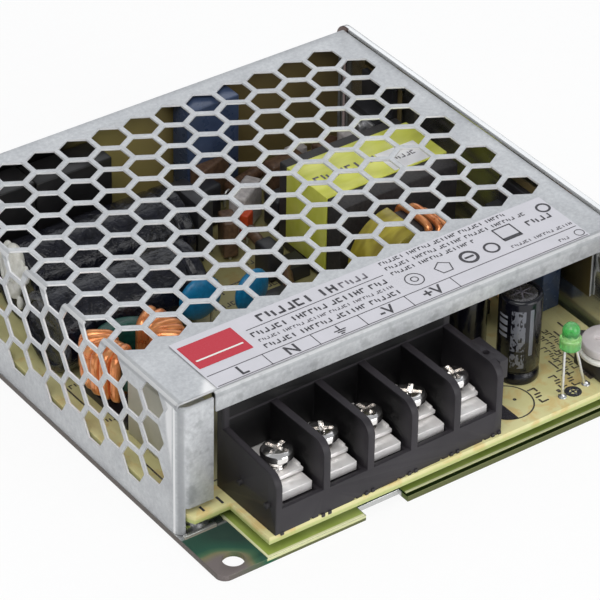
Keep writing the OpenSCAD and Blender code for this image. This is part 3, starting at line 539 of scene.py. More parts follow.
NODE_FINISHES = {
    ALUMINIUM: ["chassis"],
    ZINC: ["cover_top", "cover_side", "cover_rear", "cover_ears"],
    PLAIN_STEEL: ["cover_screws", "board_screws", "clamp_screws"],
    TIN: ["terminal_plates"] + [f"clamp_washer_{k}" for k in range(1, 6)],
    NICKEL: [f"terminal_screw_{k}" for k in range(1, 6)],
    LABEL: ["rating_label"],
    moulded_plastic("white_sticker", srgb(232, 231, 236), srgb(244, 243, 246)): ["transformer_sticker"],
    insulation_sheet(): ["insulation_film"],
    board_laminate(): ["circuit_board"],
    SPRING_STEEL: ["standoffs", "clamp_bars"],
    housing_moulding(): ["terminal_housing"],
    BLACK_MOULDING: ["transformer_bobbin", "ring_base", "trimmer_base"],
    # Near-black, darker than the other mouldings: painted shade at the left rear.
    moulded_plastic("filter_box", srgb(20, 19, 20), srgb(28, 27, 28), roughness=0.3): ["line_filter"],
    REAR_FILM: ["rear_liner", "insulator_pad"],
    FERRITE: ["transformer_core", "inductor_core"],
    YELLOW_TAPE: ["transformer_tape"],
    wound_tape("mustard_tape", srgb(138, 122, 30), srgb(196, 182, 66)): ["inductor_tape"],
    GREEN_COAT: ["ring_core"],
    COPPER: ["ring_windings", "inductor_winding"],
    moulded_plastic("grey_box", srgb(176, 172, 154), srgb(190, 187, 171)): ["film_capacitor"],
    SLEEVE: ["bulk_capacitors"],
    shrink_sleeve("printed_sleeve", (CANS[0][0] * MM, CANS[0][1] * MM, CANS[0][2] / 2 * MM,
                                     CAMERA_AZIMUTH - math.pi / 2)): ["output_capacitors"],
    SHADED_CAN_TOP: ["capacitor_tops"],
    SET_GLUE: ["glue_bead"],
    dipped_coat("blue_coat", srgb(8, 104, 150), srgb(20, 128, 176)): ["disc_capacitors"],
    dipped_coat("dark_coat", srgb(28, 52, 60), srgb(40, 70, 78)): ["thermistor", "varistor"],
    dipped_coat("fuse_body", srgb(204, 200, 180), srgb(222, 218, 202)): ["fuse"],
    BLACK_EPOXY: ["bridge_rectifier", "power_transistor", "output_diode", "control_chips"],
    moulded_plastic("navy_box", srgb(50, 62, 86), srgb(66, 80, 108), roughness=0.2): ["blue_capacitor"],
    dipped_coat("tan_body", srgb(190, 150, 104), srgb(212, 176, 130)): ["small_resistors"],
    lamp_resin(): ["lamp_lens"],
    TINNED: ["lamp_leads"],
    moulded_plastic("white_disc", srgb(226, 224, 216), srgb(238, 236, 230)): ["trimmer_disc"],
    moulded_plastic("grey_rotor", srgb(196, 190, 190), srgb(210, 203, 203), roughness=0.5): ["trimmer_rotor"],
}
NODE_MATERIALS = {name: material for material, names in NODE_FINISHES.items() for name in names}


def dress_nodes():
    for material, names in NODE_FINISHES.items():
        for name in names:
            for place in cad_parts[name].material_slots:
                place.material = material


# Modelling helpers
def drop_selection():
    bpy.ops.object.select_all(action="DESELECT")


def pick(piece):
    """Selects one piece alone and makes it the active one."""
    drop_selection()
    piece.select_set(True)
    bpy.context.view_layer.objects.active = piece


def add(operator, **settings):
    """Adds a primitive with nothing else selected."""
    drop_selection()
    operator(**settings)
    return bpy.context.object


def work(piece, kind, **settings):
    """Adds a modifier to the active piece and applies it."""
    step = piece.modifiers.new("step", kind)
    for setting, value in settings.items():
        setattr(step, setting, value)
    bpy.ops.object.modifier_apply(modifier="step")


def own_copy(node):
    """A copy of a CAD node with its own mesh, which rides on nothing yet."""
    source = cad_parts[node]
    piece = source.copy()
    piece.data = source.data.copy()
    piece.parent = None
    bpy.context.scene.collection.objects.link(piece)
    return piece


def start_edit():
    bpy.ops.object.mode_set(mode="EDIT")
    bpy.ops.mesh.select_all(action="SELECT")


def end_edit():
    bpy.ops.object.mode_set(mode="OBJECT")


def settle(piece, name, material, body=BODY, stands_for=()):
    """Names a finished piece, puts its place in its mesh, and lets it ride on its body."""
    pick(piece)
    bpy.ops.object.transform_apply(location=True, rotation=True, scale=True)
    piece.name = name
    piece.data.name = name
    if material is not None:
        piece.data.materials.clear()
        piece.data.materials.append(material)
    bpy.ops.object.shade_smooth_by_angle(angle=math.radians(35))
    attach(piece, body)
    if stands_for:
        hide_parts(*stands_for)
    piece.select_set(False)
    return piece


def join(pieces):
    drop_selection()
    for piece in pieces:
        piece.select_set(True)
    bpy.context.view_layer.objects.active = pieces[0]
    bpy.ops.object.join()
    return pieces[0]


def copy_of(piece, move, turn, about=(0, 0, 0)):
    """A copy with its own mesh, turned about a vertical axis and moved."""
    twin = piece.copy()
    twin.data = piece.data.copy()
    bpy.context.scene.collection.objects.link(twin)
    axis = Vector(about)
    turned = Matrix.Rotation(turn, 4, "Z") @ Matrix.Translation(-axis)
    twin.data.transform(Matrix.Translation(Vector(move) + axis) @ turned @ piece.matrix_world)
    twin.matrix_world = Matrix.Identity(4)
    return twin


def copy_and_drop(piece, move, turn):
    """The piece turned about the origin and moved, with its place in its mesh."""
    placed = copy_of(piece, move, turn)
    bpy.data.objects.remove(piece)
    return placed


def soft_block(wide, deep, tall, edge, segments):
    """A block around the origin with rounded edges; its sides are in millimetres."""
    block = add(bpy.ops.mesh.primitive_cube_add, size=MM, location=(0, 0, 0))
    start_edit()
    bpy.ops.transform.resize(value=(wide, deep, tall), center_override=(0, 0, 0))
    bpy.ops.mesh.bevel(offset=edge * MM, segments=segments, affect="EDGES")
    end_edit()
    return block


def stretched_ball(radius, stretch, sides, rings):
    """A ball around the origin, stretched along its axes; its radius is in millimetres."""
    ball = add(bpy.ops.mesh.primitive_uv_sphere_add, segments=sides, ring_count=rings,
               radius=radius * MM, location=(0, 0, 0))
    start_edit()
    bpy.ops.transform.resize(value=stretch, center_override=(0, 0, 0))
    end_edit()
    return ball


def shift_corners(piece, chosen, move):
    """Moves the corners of a piece for which chosen(place) is true."""
    bpy.ops.object.mode_set(mode="EDIT")
    bpy.ops.mesh.select_all(action="DESELECT")
    end_edit()
    for corner in piece.data.vertices:
        corner.select = bool(chosen(piece.matrix_world @ corner.co))
    bpy.ops.object.mode_set(mode="EDIT")
    bpy.ops.transform.translate(value=move)
    end_edit()


def merge_faces():
    """In edit mode: joins the corners that touch and the faces that lie flat."""
    bpy.ops.mesh.remove_doubles(threshold=MERGE_GAP)
    bpy.ops.mesh.dissolve_limited(angle_limit=FLAT_ANGLE)


def ease_edges(piece, width, degrees):
    work(piece, "BEVEL", width=width, segments=2, limit_method="ANGLE", angle_limit=math.radians(degrees))


def rounded_copy(node, width, body=BODY, trim=None):
    """A merged copy of a rigid node, trimmed and with its edges rounded; it stands for the node."""
    piece = own_copy(node)
    pick(piece)
    start_edit()
    merge_faces()
    end_edit()
    if trim:
        trim(piece)
    ease_edges(piece, width, 35)
    return settle(piece, f"{node}_finish", None, body, [node])


def in_metres(rows):
    """The same rows of numbers, from millimetres."""
    return [tuple(value * MM for value in row) for row in rows]


def flat_bars(bars, height):
    """Flat bars (x, y, width, depth) at one height, as one mesh with soft corners."""
    piece = add(bpy.ops.mesh.primitive_plane_add, size=1, location=(0, 0, 0))
    start_edit()
    bpy.ops.mesh.delete(type="VERT")
    for x, y, width, depth in bars:
        bpy.ops.mesh.primitive_plane_add(size=1, location=(x, y, height))
        bpy.ops.transform.resize(value=(width, depth, 1), center_override=(x, y, height))
    bpy.ops.mesh.select_all(action="SELECT")
    bpy.ops.mesh.bevel(offset=0.12 * MM, affect="VERTICES", segments=2)
    end_edit()
    return piece


def flat_disc(x, y, radius, height, sides):
    """A flat disc of one face."""
    return add(bpy.ops.mesh.primitive_circle_add, vertices=sides, radius=radius, fill_type="NGON",
               location=(x, y, height))


def ring_outline(x, y, radius, line, height, sides=48):
    """Flat ring of a line's width."""
    piece = flat_disc(x, y, radius, height, sides)
    start_edit()
    bpy.ops.mesh.inset(thickness=line)
    bpy.ops.mesh.delete(type="FACE")
    end_edit()
    return piece


def sign(words, x, y, size, height):
    """A flat sign, centred on x and y."""
    piece = add(bpy.ops.object.text_add, location=(x, y, height))
    piece.data.body = words
    piece.data.size = size
    piece.data.align_x = "CENTER"
    piece.data.align_y = "CENTER"
    piece.data.offset = size * 0.02
    bpy.ops.object.convert(target="MESH")
    return bpy.context.object


def lathe(x, y, rings, sides=48):
    """A turned piece about a vertical axis: rings of (radius, height) from bottom to top."""
    piece = flat_disc(x, y, *rings[0], sides)
    start_edit()
    for (before, under), (after, over) in zip(rings, rings[1:]):
        bpy.ops.mesh.extrude_region_move(TRANSFORM_OT_translate={"value": (0, 0, over - under)})
        if before != after:
            share = after / before
            bpy.ops.transform.resize(value=(share, share, 1), center_override=(x, y, over))
    bpy.ops.mesh.select_all(action="SELECT")
    bpy.ops.mesh.normals_make_consistent(inside=False)
    end_edit()
    return piece


# Print on the rating label
# Strokes of the small marks as (x, y, width, height), in shares of their height
MARK_STROKES = (((-0.26, 0, 0.22, 1), (0.06, 0.38, 0.6, 0.24)),
                ((-0.28, 0, 0.22, 1), (0.28, 0, 0.22, 1), (0, 0, 0.5, 0.24)),
                ((0, 0, 0.26, 1),),
                ((-0.26, 0, 0.22, 1), (0.06, 0.38, 0.58, 0.24), (0.06, -0.38, 0.58, 0.24)),
                ((0.26, 0, 0.22, 1), (-0.06, -0.38, 0.6, 0.24)),
                ((-0.24, 0.1, 0.24, 0.8), (0.24, -0.1, 0.24, 0.8)))


def row_of_marks(start, y, length, tall):
    """Bars that stand for one line of small print, without spelling anything; sizes in millimetres."""
    bars = []
    x, step = start, 0
    while x < start + length:
        for across, up, wide, high_share in MARK_STROKES[(step * 5 + step // 3) % len(MARK_STROKES)]:
            bars.append(((x + across * tall) * MM, (y + up * tall) * MM,
                         wide * tall * MM, high_share * tall * MM))
        x += tall * (1.5 if step % 6 == 5 else 0.95)
        step += 1
    return bars


def rows_of_marks(*rows):
    return [bar for row in rows for bar in row_of_marks(*row)]


def label_signs(top):
    """Rules that part the row of terminal signs into cells, and the signs."""
    left, front = low("rating_label").x, low("rating_label").y
    right = high("rating_label").x
    row_line = -32.3 * MM
    line = 0.17 * MM
    terminal_step = 10.13 * MM
    cell_edges = [-28.4 * MM + terminal_step * k for k in range(5)]
    rules = [((left + right) / 2, row_line, right - left - 0.6 * MM, line),
             (-11.9 * MM, -25.1 * MM, 29.6 * MM, line),
             ((left + right) / 2, front + 0.2 * MM, right - left - 0.6 * MM, line)]
    rules += [(x, (row_line + front) / 2, line, row_line - front) for x in cell_edges]
    settle(flat_bars(rules, top), "label_rules", GREY_INK)

    sign_y = (row_line + front) / 2 - 0.05 * MM
    centres = [cell_edges[0] - 5.3 * MM] + [x + 5.1 * MM for x in cell_edges[:4]]
    for name, words, x in (("l", "L", centres[0]), ("n", "N", centres[1]),
                           ("minus", "-V", centres[3]), ("plus", "+V", centres[4])):
        settle(sign(words, x, sign_y, 3.5 * MM, top), f"label_sign_{name}", BLACK_INK)
    earth_x = centres[2]
    earth = [(earth_x, sign_y + 0.75 * MM, 0.3 * MM, 1.4 * MM)]
    earth += [(earth_x, sign_y - 0.5 * MM * k, (2.5 - 0.8 * k) * MM, 0.28 * MM) for k in range(3)]
    settle(flat_bars(earth, top), "label_sign_earth", BLACK_INK)


def label_words(top):
    """A red field with a white line, and rows of small marks."""
    field = in_metres([(-33.95, -26.3, 11.2, 7.1)])
    divider = in_metres([(-33.95, -27.7, 9.8, 0.4)])
    settle(flat_bars(field, top), "label_red_field", RED_INK)
    settle(flat_bars(divider, top + PRINT_LIFT), "label_red_divider", WHITE_INK)
    dark = rows_of_marks((-22.2, -23.3, 16.0, 2.1), (-26.2, -26.8, 28.8, 1.35), (-26.2, -30.7, 28.8, 1.2),
                         (4.6, -22.1, 28.0, 0.95), (4.6, -23.9, 30.6, 0.95), (4.6, -25.7, 18.6, 0.95),
                         (34.4, -26.8, 4.4, 1.5))
    settle(flat_bars(dark, top), "label_dark_marks", BLACK_INK)
    pale = rows_of_marks((-26.2, -28.8, 28.8, 0.8), (27.4, -31.1, 13.6, 0.8), (-4.8, -23.4, 4.6, 1.6),
                         (35.6, -34.4, 1.6, 0.8))
    settle(flat_bars(pale, top), "label_grey_marks", GREY_INK)


def label_outlines(top):
    """Plain rings, a pentagon and a square."""
    marks = []
    # Each ring: x, y, radius, width of its line and number of sides
    for x, y, radius, wide, sides in (
            (6.7, -29.2, 1.85, 0.22, 48), (6.7, -29.2, 0.8, 0.22, 48), (13.2, -29.2, 1.9, 0.22, 5),
            (18.9, -29.2, 1.9, 0.6, 48), (24.0, -29.2, 1.6, 0.45, 48), (39.6, -24.4, 1.45, 0.45, 48),
            (40.0, -34.3, 1.0, 0.18, 48)):
        marks.append(ring_outline(x * MM, y * MM, radius * MM, wide * MM, top, sides))
    frame_bars = [(29.3, -25.0, 4.2, 0.3), (29.3, -28.6, 4.2, 0.9), (27.35, -26.8, 0.3, 3.6),
                  (31.25, -26.8, 0.3, 3.6), (18.9, -29.2, 2.0, 0.5)]
    marks.append(flat_bars(in_metres(frame_bars), top))
    settle(join(marks), "label_outline_marks", BLACK_INK)


def label_print():
    """Plain generic print on the rating label."""
    top = high("rating_label").z + PRINT_LIFT
    label_signs(top)
    label_words(top)
    label_outlines(top)


# Terminal row
def terminal_screw():
    """Pan head with a cross recess, a cone under the head and a rolled thread."""
    node = "terminal_screw_1"
    centre = middle(node)
    top = high(node).z
    bottom = low(node).z
    head = (high(node).x - low(node).x) / 2
    shank = 1.75 * MM
    rings = [(shank - 0.3 * MM, bottom), (shank, bottom + 0.3 * MM)]
    turn = 0.6 * MM
    height = bottom + 0.3 * MM
    thread_top = top - 3.2 * MM
    while height + turn < thread_top:
        rings += [(shank - 0.22 * MM, height + turn / 2), (shank, height + turn)]
        height += turn
    rings += [(shank - 0.25 * MM, thread_top), (shank - 0.25 * MM, top - 2.6 * MM),
              (head * 0.93, top - 1.6 * MM), (head, top - 1.45 * MM), (head, top - 0.7 * MM),
              (head * 0.93, top - 0.3 * MM), (head * 0.74, top - 0.04 * MM), (head * 0.6, top)]
    piece = lathe(centre.x, centre.y, rings, sides=40)
    cutter_parts = []
    for quarter in (25, 115):
        bar = add(bpy.ops.mesh.primitive_cube_add, size=1, location=(centre.x, centre.y, top),
                  scale=(4.3 * MM, 0.85 * MM, 2.2 * MM), rotation=(0, 0, math.radians(quarter)))
        start_edit()
        bpy.ops.mesh.bevel(offset=0.12 * MM, segments=1, affect="EDGES")
        end_edit()
        cutter_parts.append(bar)
    pick(piece)
    for cutter in cutter_parts:
        work(piece, "BOOLEAN", object=cutter, operation="DIFFERENCE")
        bpy.data.objects.remove(cutter)
    return piece


def trim_housing(piece):
    """The left end wall stands further out and lower, and the block sits slightly askew on the board."""
    left, front, foot = low("terminal_housing")
    wall = left + 2.2 * MM
    slope = front + 5 * MM

    def of_wall_top(place, drop):
        return place.x < wall and BARRIER_TOP - drop < place.z < BARRIER_TOP + 0.1 * MM

    shift_corners(piece, lambda place: place.x < wall, (-0.7 * MM, 0, 0))
    shift_corners(piece, lambda place: of_wall_top(place, 4 * MM) and place.y < slope, (0, 0, -2.7 * MM))
    shift_corners(piece, lambda place: of_wall_top(place, 1 * MM) and place.y > slope, (0, 0, -1.7 * MM))
    start_edit()
    bpy.ops.transform.rotate(value=-HOUSING_TURN, orient_axis="Z",
                             center_override=(high("terminal_housing").x, front, foot))
    end_edit()


def housing_teeth():
    """Small teeth along the foot of the housing's front face."""
    front, foot = low("terminal_housing").y, low("terminal_housing").z
    # No tooth passes the first line, and where the face overhangs the second one they hang lower
    reach, board_edge = -49.48 * MM, -49.1 * MM
    teeth = []
    for k in range(6):
        for side in (-0.7, 0.7) if k else (0,):
            x = (-35.9 + 9.4 * k + side) * MM
            face = front - (high("terminal_housing").x - x) * math.tan(HOUSING_TURN)
            under = foot - 0.5 * MM if face < board_edge else foot
            back = face + 0.4 * MM
            out = max(face - 0.25 * MM, reach)
            tooth = soft_block(0.7, (back - out) / MM, 0.7, 0.1, 2)
            teeth.append(copy_and_drop(tooth, (x, (back + out) / 2, under + 0.35 * MM), 0))
    settle(join(teeth), "housing_teeth", BLACK_MOULDING)


def terminal_row():
    rounded_copy("terminal_housing", 0.12 * MM, trim=trim_housing)
    housing_teeth()
    rounded_copy("terminal_plates", 0.08 * MM)
    first = terminal_screw()
    for k in range(1, 6):
        shift = middle(f"terminal_screw_{k}").x - middle("terminal_screw_1").x
        angle = math.radians(37 * (k - 1))
        piece = copy_of(first, (shift, 0, 0), angle, middle("terminal_screw_1"))
        settle(piece, f"terminal_screw_{k}_finish", NICKEL, f"screw_{k}", [f"terminal_screw_{k}"])
        rounded_copy(f"clamp_washer_{k}", 0.12 * MM, f"washer_{k}")
    bpy.data.objects.remove(first)


# Windings
def round_wire(points, wire, closed=True):
    """Round wire along points, with its own mesh."""
    path = add(bpy.ops.curve.primitive_nurbs_circle_add, radius=1.0)
    path.data.splines.clear()
    spline = path.data.splines.new("NURBS")
    spline.points.add(len(points) - 1)
    for point, place in zip(spline.points, points):
        point.co = (*place, 1.0)
    spline.use_cyclic_u = closed
    spline.order_u = 3
    path.data.resolution_u = 3
    path.data.bevel_depth = wire / 2
    path.data.bevel_resolution = 4
    path.data.use_fill_caps = not closed
    bpy.ops.object.convert(target="MESH")
    return bpy.context.object


def ring_turns(centre, axis, inner, outer, half_width, wire, angles):
    """Turns of round wire over a ring, one at each angle; axis is the ring's own."""
    across = Vector(axis)
    level = Vector((1, 0, 0))
    upright = level.cross(across) * -1
    gap = wire / 2
    outline = [(outer + gap, -1.0), (outer + gap, 1.0), (inner - gap, 1.0), (inner - gap, -1.0)]
    pieces = []
    for angle in angles:
        radial = level * math.cos(angle) + upright * math.sin(angle)
        points = []
        for start, end in zip(outline, outline[1:] + outline[:1]):
            for share in (0.12, 0.5, 0.88):
                radius = start[0] + (end[0] - start[0]) * share
                side = (start[1] + (end[1] - start[1]) * share) * (half_width + gap)
                points.append(centre + radial * radius + across * side)
        pieces.append(round_wire(points, wire))
    return join(pieces)


def wind(core, axis, inner, wire, angles, name, node):
    """Copper turns over a ring core whose inner radius is a share of the outer one."""
    way = Vector(axis)
    outer = (high(core).x - low(core).x) / 2
    half_width = abs(high(core).dot(way) - low(core).dot(way)) / 2
    coil = ring_turns(middle(core), axis, outer * inner, outer, half_width, wire, angles)
    settle(coil, name, COPPER, stands_for=[node])


def windings():
    """Two coils face each other on the flat ring choke; one spreads over the standing inductor."""
    step = math.radians(14)
    facing = [side + (i - 2.5) * step for side in (0, math.pi) for i in range(6)]
    wind("ring_core", (0, 0, 1), 0.6, 2.15 * MM, facing, "ring_winding_wire", "ring_windings")
    step, lean = math.radians(18), math.radians(15)
    spread = [lean + (i - 3.5) * step for i in range(8)]
    wind("inductor_core", (0, -1, 0), 0.45, 1.5 * MM, spread, "inductor_winding_wire", "inductor_winding")


# Parts on the board
def standing_cans():
    """Sleeved cans with a rolled groove, a crimped rim and a scored vent."""
    base = high("circuit_board").z
    sleeves, tops, scores = [], [], []
    for x, y, across, tall in CANS:
        radius = across / 2
        sleeve = ((radius - 0.5, 0), (radius - 0.12, 0.12), (radius, 0.45), (radius, 1.5),
                  (radius - 0.2, 1.85), (radius - 0.35, 2.3), (radius - 0.2, 2.75), (radius, 3.1),
                  (radius, tall - 0.6), (radius - 0.1, tall - 0.25), (radius - 0.35, tall - 0.04),
                  (radius - 0.6, tall), (radius - 0.85, tall - 0.1), (radius - 0.92, tall - 0.4))
        cap = ((radius - 0.93, tall - 0.5), (radius - 0.93, tall - 0.3), (radius - 1.15, tall - 0.16),
               (radius - 1.6, tall - 0.12))
        for profile, pieces in ((sleeve, sleeves), (cap, tops)):
            rings = [(rim * MM, base + up * MM) for rim, up in profile]
            pieces.append(lathe(x * MM, y * MM, rings, sides=56))
        # The vent's scores are flat grey lines: painted shade in place of grooves.
        for turn in (0, 60, 120):
            groove = flat_bars([(0, 0, across * 0.55 * MM, 0.22 * MM)], 0)
            place = (x * MM, y * MM, base + (tall - 0.115) * MM)
            scores.append(copy_and_drop(groove, place, math.radians(turn)))
    settle(join(sleeves), "standing_can_sleeves", NODE_MATERIALS["output_capacitors"],
           stands_for=["output_capacitors"])
    settle(join(tops), "standing_can_tops", NODE_MATERIALS["capacitor_tops"],
           stands_for=["capacitor_tops"])
    settle(join(scores), "standing_can_vents", GREY_INK)


def legs_beside(x, y, apart, top, turn, sides):
    """Two wire legs from the board up to a height, on both sides of x and y."""
    base = high("circuit_board").z
    legs = []
    for side in (-apart, apart):
        leg = lathe(0, 0, [(0.3 * MM, base), (0.3 * MM, top)], sides=sides)
        place = (x * MM + side * math.cos(turn), y * MM + side * math.sin(turn), 0)
        legs.append(copy_and_drop(leg, place, turn))
    return legs


def dipped_disc(x, y, across, thick, degrees, foot):
    """A lens shaped disc on two wires, foot millimetres above the board."""
    centre = high("circuit_board").z + (across / 2 + foot) * MM
    turn = math.radians(degrees)
    disc = stretched_ball(across / 2, (1, thick / across, 1), 40, 20)
    disc = copy_and_drop(disc, (x * MM, y * MM, centre), turn)
    return disc, legs_beside(x, y, across * 0.28 * MM, centre - across * 0.3 * MM, turn, 14)


def dipped_discs():
    wires = []
    # Each disc: x, y, width and thickness in millimetres, turn in degrees, height of its foot
    for node, slot, discs in (
            ("disc_capacitors", "blue_coat", ((-17.4, 2.4, 9, 3.4, 0, 7), (-8.2, -0.7, 8.6, 3.4, 15, 7))),
            ("thermistor", "dark_coat", ((-27, -20, 11, 4, 80, 1.6),)),
            ("varistor", "blue_coat", ((-19.5, -21, 12, 4, 70, 1.6),))):
        bodies = []
        for disc in discs:
            body, legs = dipped_disc(*disc)
            bodies.append(body)
            wires += legs
        settle(join(bodies), f"{node}_coat", NODE_MATERIALS[node], stands_for=[node])
    settle(join(wires), "disc_wires", TINNED)


def moulded_block(x, y, wide, deep, foot, tall, degrees):
    """A moulded block on two wire legs, foot millimetres above the board."""
    base = high("circuit_board").z
    turn = math.radians(degrees)
    block = soft_block(wide, deep, tall, min(wide, deep, tall) * 0.16, 3)
    block = copy_and_drop(block, (x * MM, y * MM, base + (foot + tall / 2) * MM), turn)
    return block, legs_beside(x, y, 0.3 * wide * MM, base + (foot + 0.5) * MM, turn, 12)


def lying_body(x, y, long, across, lift, degrees):
    """A lying body with thicker ends, its wire bent down to the board at both ends."""
    half, radius = long / 2, across / 2
    profile = ((radius * 0.5, -half), (radius, 0.3 - half), (radius, 1.1 - half),
               (radius * 0.84, 1.6 - half), (radius * 0.84, half - 1.6), (radius, half - 1.1),
               (radius, half - 0.3), (radius * 0.5, half))
    body = lathe(0, 0, in_metres(profile), sides=28)
    start_edit()
    bpy.ops.transform.rotate(value=math.pi / 2, orient_axis="Y", center_override=(0, 0, 0))
    end_edit()
    end = half + 1.2
    path = ((-end, 0, -lift), (-end, 0, -lift / 2), (-end, 0, -0.4), (-half, 0, 0), (0, 0, 0),
            (half, 0, 0), (end, 0, -0.4), (end, 0, -lift / 2), (end, 0, -lift))
    wire = round_wire(in_metres(path), 0.6 * MM, closed=False)
    place = (x * MM, y * MM, high("circuit_board").z + lift * MM)
    return [copy_and_drop(piece, place, math.radians(degrees)) for piece in (body, wire)]


def small_parts():
    """Blocks and lying bodies that fill the board around the transformer."""
    wires = []
    # Each block: x, y, width, depth, height of its foot, its own height, turn in degrees
    for name, finish, slot, blocks in (
            ("black_blocks", BLACK_EPOXY, "black_epoxy", (
                (5.4, 35.2, 7, 4, 0.4, 9, 8), (18.5, 27, 6, 4.6, 0.4, 7, 0), (30, 26.4, 8, 4, 0.4, 6, 0),
                (6.5, 14.4, 3.6, 5, 0.4, 7, 0))),
            ("brown_blocks", BROWN_BODY, "tan_body", (
                (10.8, 40.4, 9, 3.4, 0.6, 10, 20), (24, 34, 8, 3.6, 0.6, 9, 0), (4.2, 24.6, 5, 3, 0.8, 8, 70),
                (35, 36, 5, 4, 0.6, 8, 30))),
            ("pale_blocks", PALE_BODY, "grey_box", (
                (12.2, 30.4, 8.4, 3.6, 0.8, 8.4, 32), (37.2, 31, 3, 4.6, 6, 6, 0),
                (31.6, 41, 4.2, 2.4, 0.6, 5, 0))),
            ("orange_blocks", ORANGE_BODY, "tan_body", ((9.6, 26.4, 2.6, 1.8, 1.0, 5.6, 30),))):
        bodies = []
        for block in blocks:
            body, legs = moulded_block(*block)
            bodies.append(body)
            wires += legs
        settle(join(bodies), name, finish)
    # Each lying body: x, y, length, diameter, height of its middle, turn in degrees
    lying = [lying_body(*values) for values in (
        (7.4, 19.2, 8, 2.6, 5.0, 80), (17.5, 38.5, 9, 3, 4.5, 15), (27.5, 31, 9, 2.6, 3.4, 4),
        (7.2, 9.4, 7, 2.4, 2.4, 60), (28, 38.4, 8, 2.8, 3.2, -20))]
    settle(join([body for body, wire in lying]), "lying_bodies", BROWN_BODY)
    wires += [wire for body, wire in lying]
    settle(join(wires), "small_part_wires", TINNED)


def lamp():
    """Lens with its collar and dome, and the bright cup inside it."""
    centre = middle("lamp_lens")
    foot = low("lamp_lens").z
    radius = 1.6 * MM
    collar = radius + 0.4 * MM
    rings = [(collar - 0.25 * MM, foot), (collar, foot + 0.25 * MM), (collar, foot + 2.2 * MM),
             (collar - 0.15 * MM, foot + 2.36 * MM), (radius, foot + 2.4 * MM), (radius, foot + 3.8 * MM)]
    for step in range(1, 9):
        angle = math.radians(step * 10.8)
        rings.append((radius * math.cos(angle), foot + 3.8 * MM + radius * math.sin(angle)))
    settle(lathe(centre.x, centre.y, rings, sides=40), "lamp_lens_finish", NODE_MATERIALS["lamp_lens"],
           stands_for=["lamp_lens"])
    cup = [(0.28 * MM, foot + 0.2 * MM), (0.28 * MM, foot + 1.5 * MM), (0.8 * MM, foot + 2.2 * MM),
           (0.8 * MM, foot + 2.4 * MM), (0.6 * MM, foot + 2.35 * MM), (0.2 * MM, foot + 1.9 * MM)]
    settle(lathe(centre.x, centre.y, cup, sides=24), "lamp_cup", TINNED)


def glue_drips():
    """White glue run down the end of a lying can."""
    lumps = []
    # Each lump: y, z and radius in millimetres, and how far it is drawn out downwards
    for y, z, radius, drawn in ((26.4, 20.4, 2.4, 1.8), (25.2, 16.2, 1.0, 2.2), (28.2, 20.6, 1.5, 2.6),
                                (23.6, 19.4, 1.0, 3.4), (29.8, 18.2, 1.0, 3.6), (26.6, 14.6, 1.6, 1.2),
                                (31.4, 19.4, 0.9, 3.0), (22.2, 20.2, 0.8, 2.6), (24.6, 12.6, 0.8, 1.8)):
        lump = stretched_ball(radius, (0.8, 1, drawn), 24, 14)
        lumps.append(copy_and_drop(lump, (-41.9 * MM, y * MM, z * MM), 0))
    piece = join(lumps)
    work(piece, "REMESH", mode="VOXEL", voxel_size=0.2 * MM)
    work(piece, "SMOOTH", iterations=6)
    settle(piece, "glue_drips", NODE_MATERIALS["glue_bead"], stands_for=["glue_bead"])


# Nodes that only need rounded edges: name, width of the rounding in millimetres, slot
ROUNDED_NODES = (
    ("chassis", 0.12, "bare_aluminium"), ("cover_ears", 0.08, "zinc_sheet"),
    ("circuit_board", 0.1, "board"), ("film_capacitor", 0.5, "grey_box"),
    ("blue_capacitor", 0.35, "navy_box"), ("line_filter", 0.35, "black_moulding"),
    ("transformer_core", 0.3, "ferrite"), ("transformer_bobbin", 0.2, "black_moulding"),
    ("transformer_tape", 0.12, "yellow_tape"), ("ring_core", 0.6, "green_coat"),
    ("ring_base", 0.3, "black_moulding"), ("inductor_core", 0.6, "ferrite"),
    ("inductor_tape", 0.3, "yellow_tape"), ("bulk_capacitors", 0.15, "black_sleeve"),
    ("bridge_rectifier", 0.25, "black_epoxy"), ("power_transistor", 0.15, "black_epoxy"),
    ("output_diode", 0.15, "black_epoxy"), ("control_chips", 0.12, "black_epoxy"),
    ("clamp_bars", 0.12, "spring_steel"), ("clamp_screws", 0.15, "plain_screws"),
    ("board_screws", 0.12, "plain_screws"), ("fuse", 0.2, "fuse_body"),
    ("trimmer_base", 0.25, "black_moulding"), ("trimmer_disc", 0.2, "white_disc"))


def trim_film(piece):
    """The right part of the film reaches closer to the front edge of the base."""
    shift_corners(piece, lambda place: place.x > -9 * MM and place.y < -47.5 * MM, (0, -0.7 * MM, 0))


def rounded_nodes():
    for node, width, slot in ROUNDED_NODES:
        rounded_copy(node, width * MM)
    rounded_copy("insulation_film", 0.03 * MM, trim=trim_film)
    rounded_copy("trimmer_rotor", 0.25 * MM, "rotor")


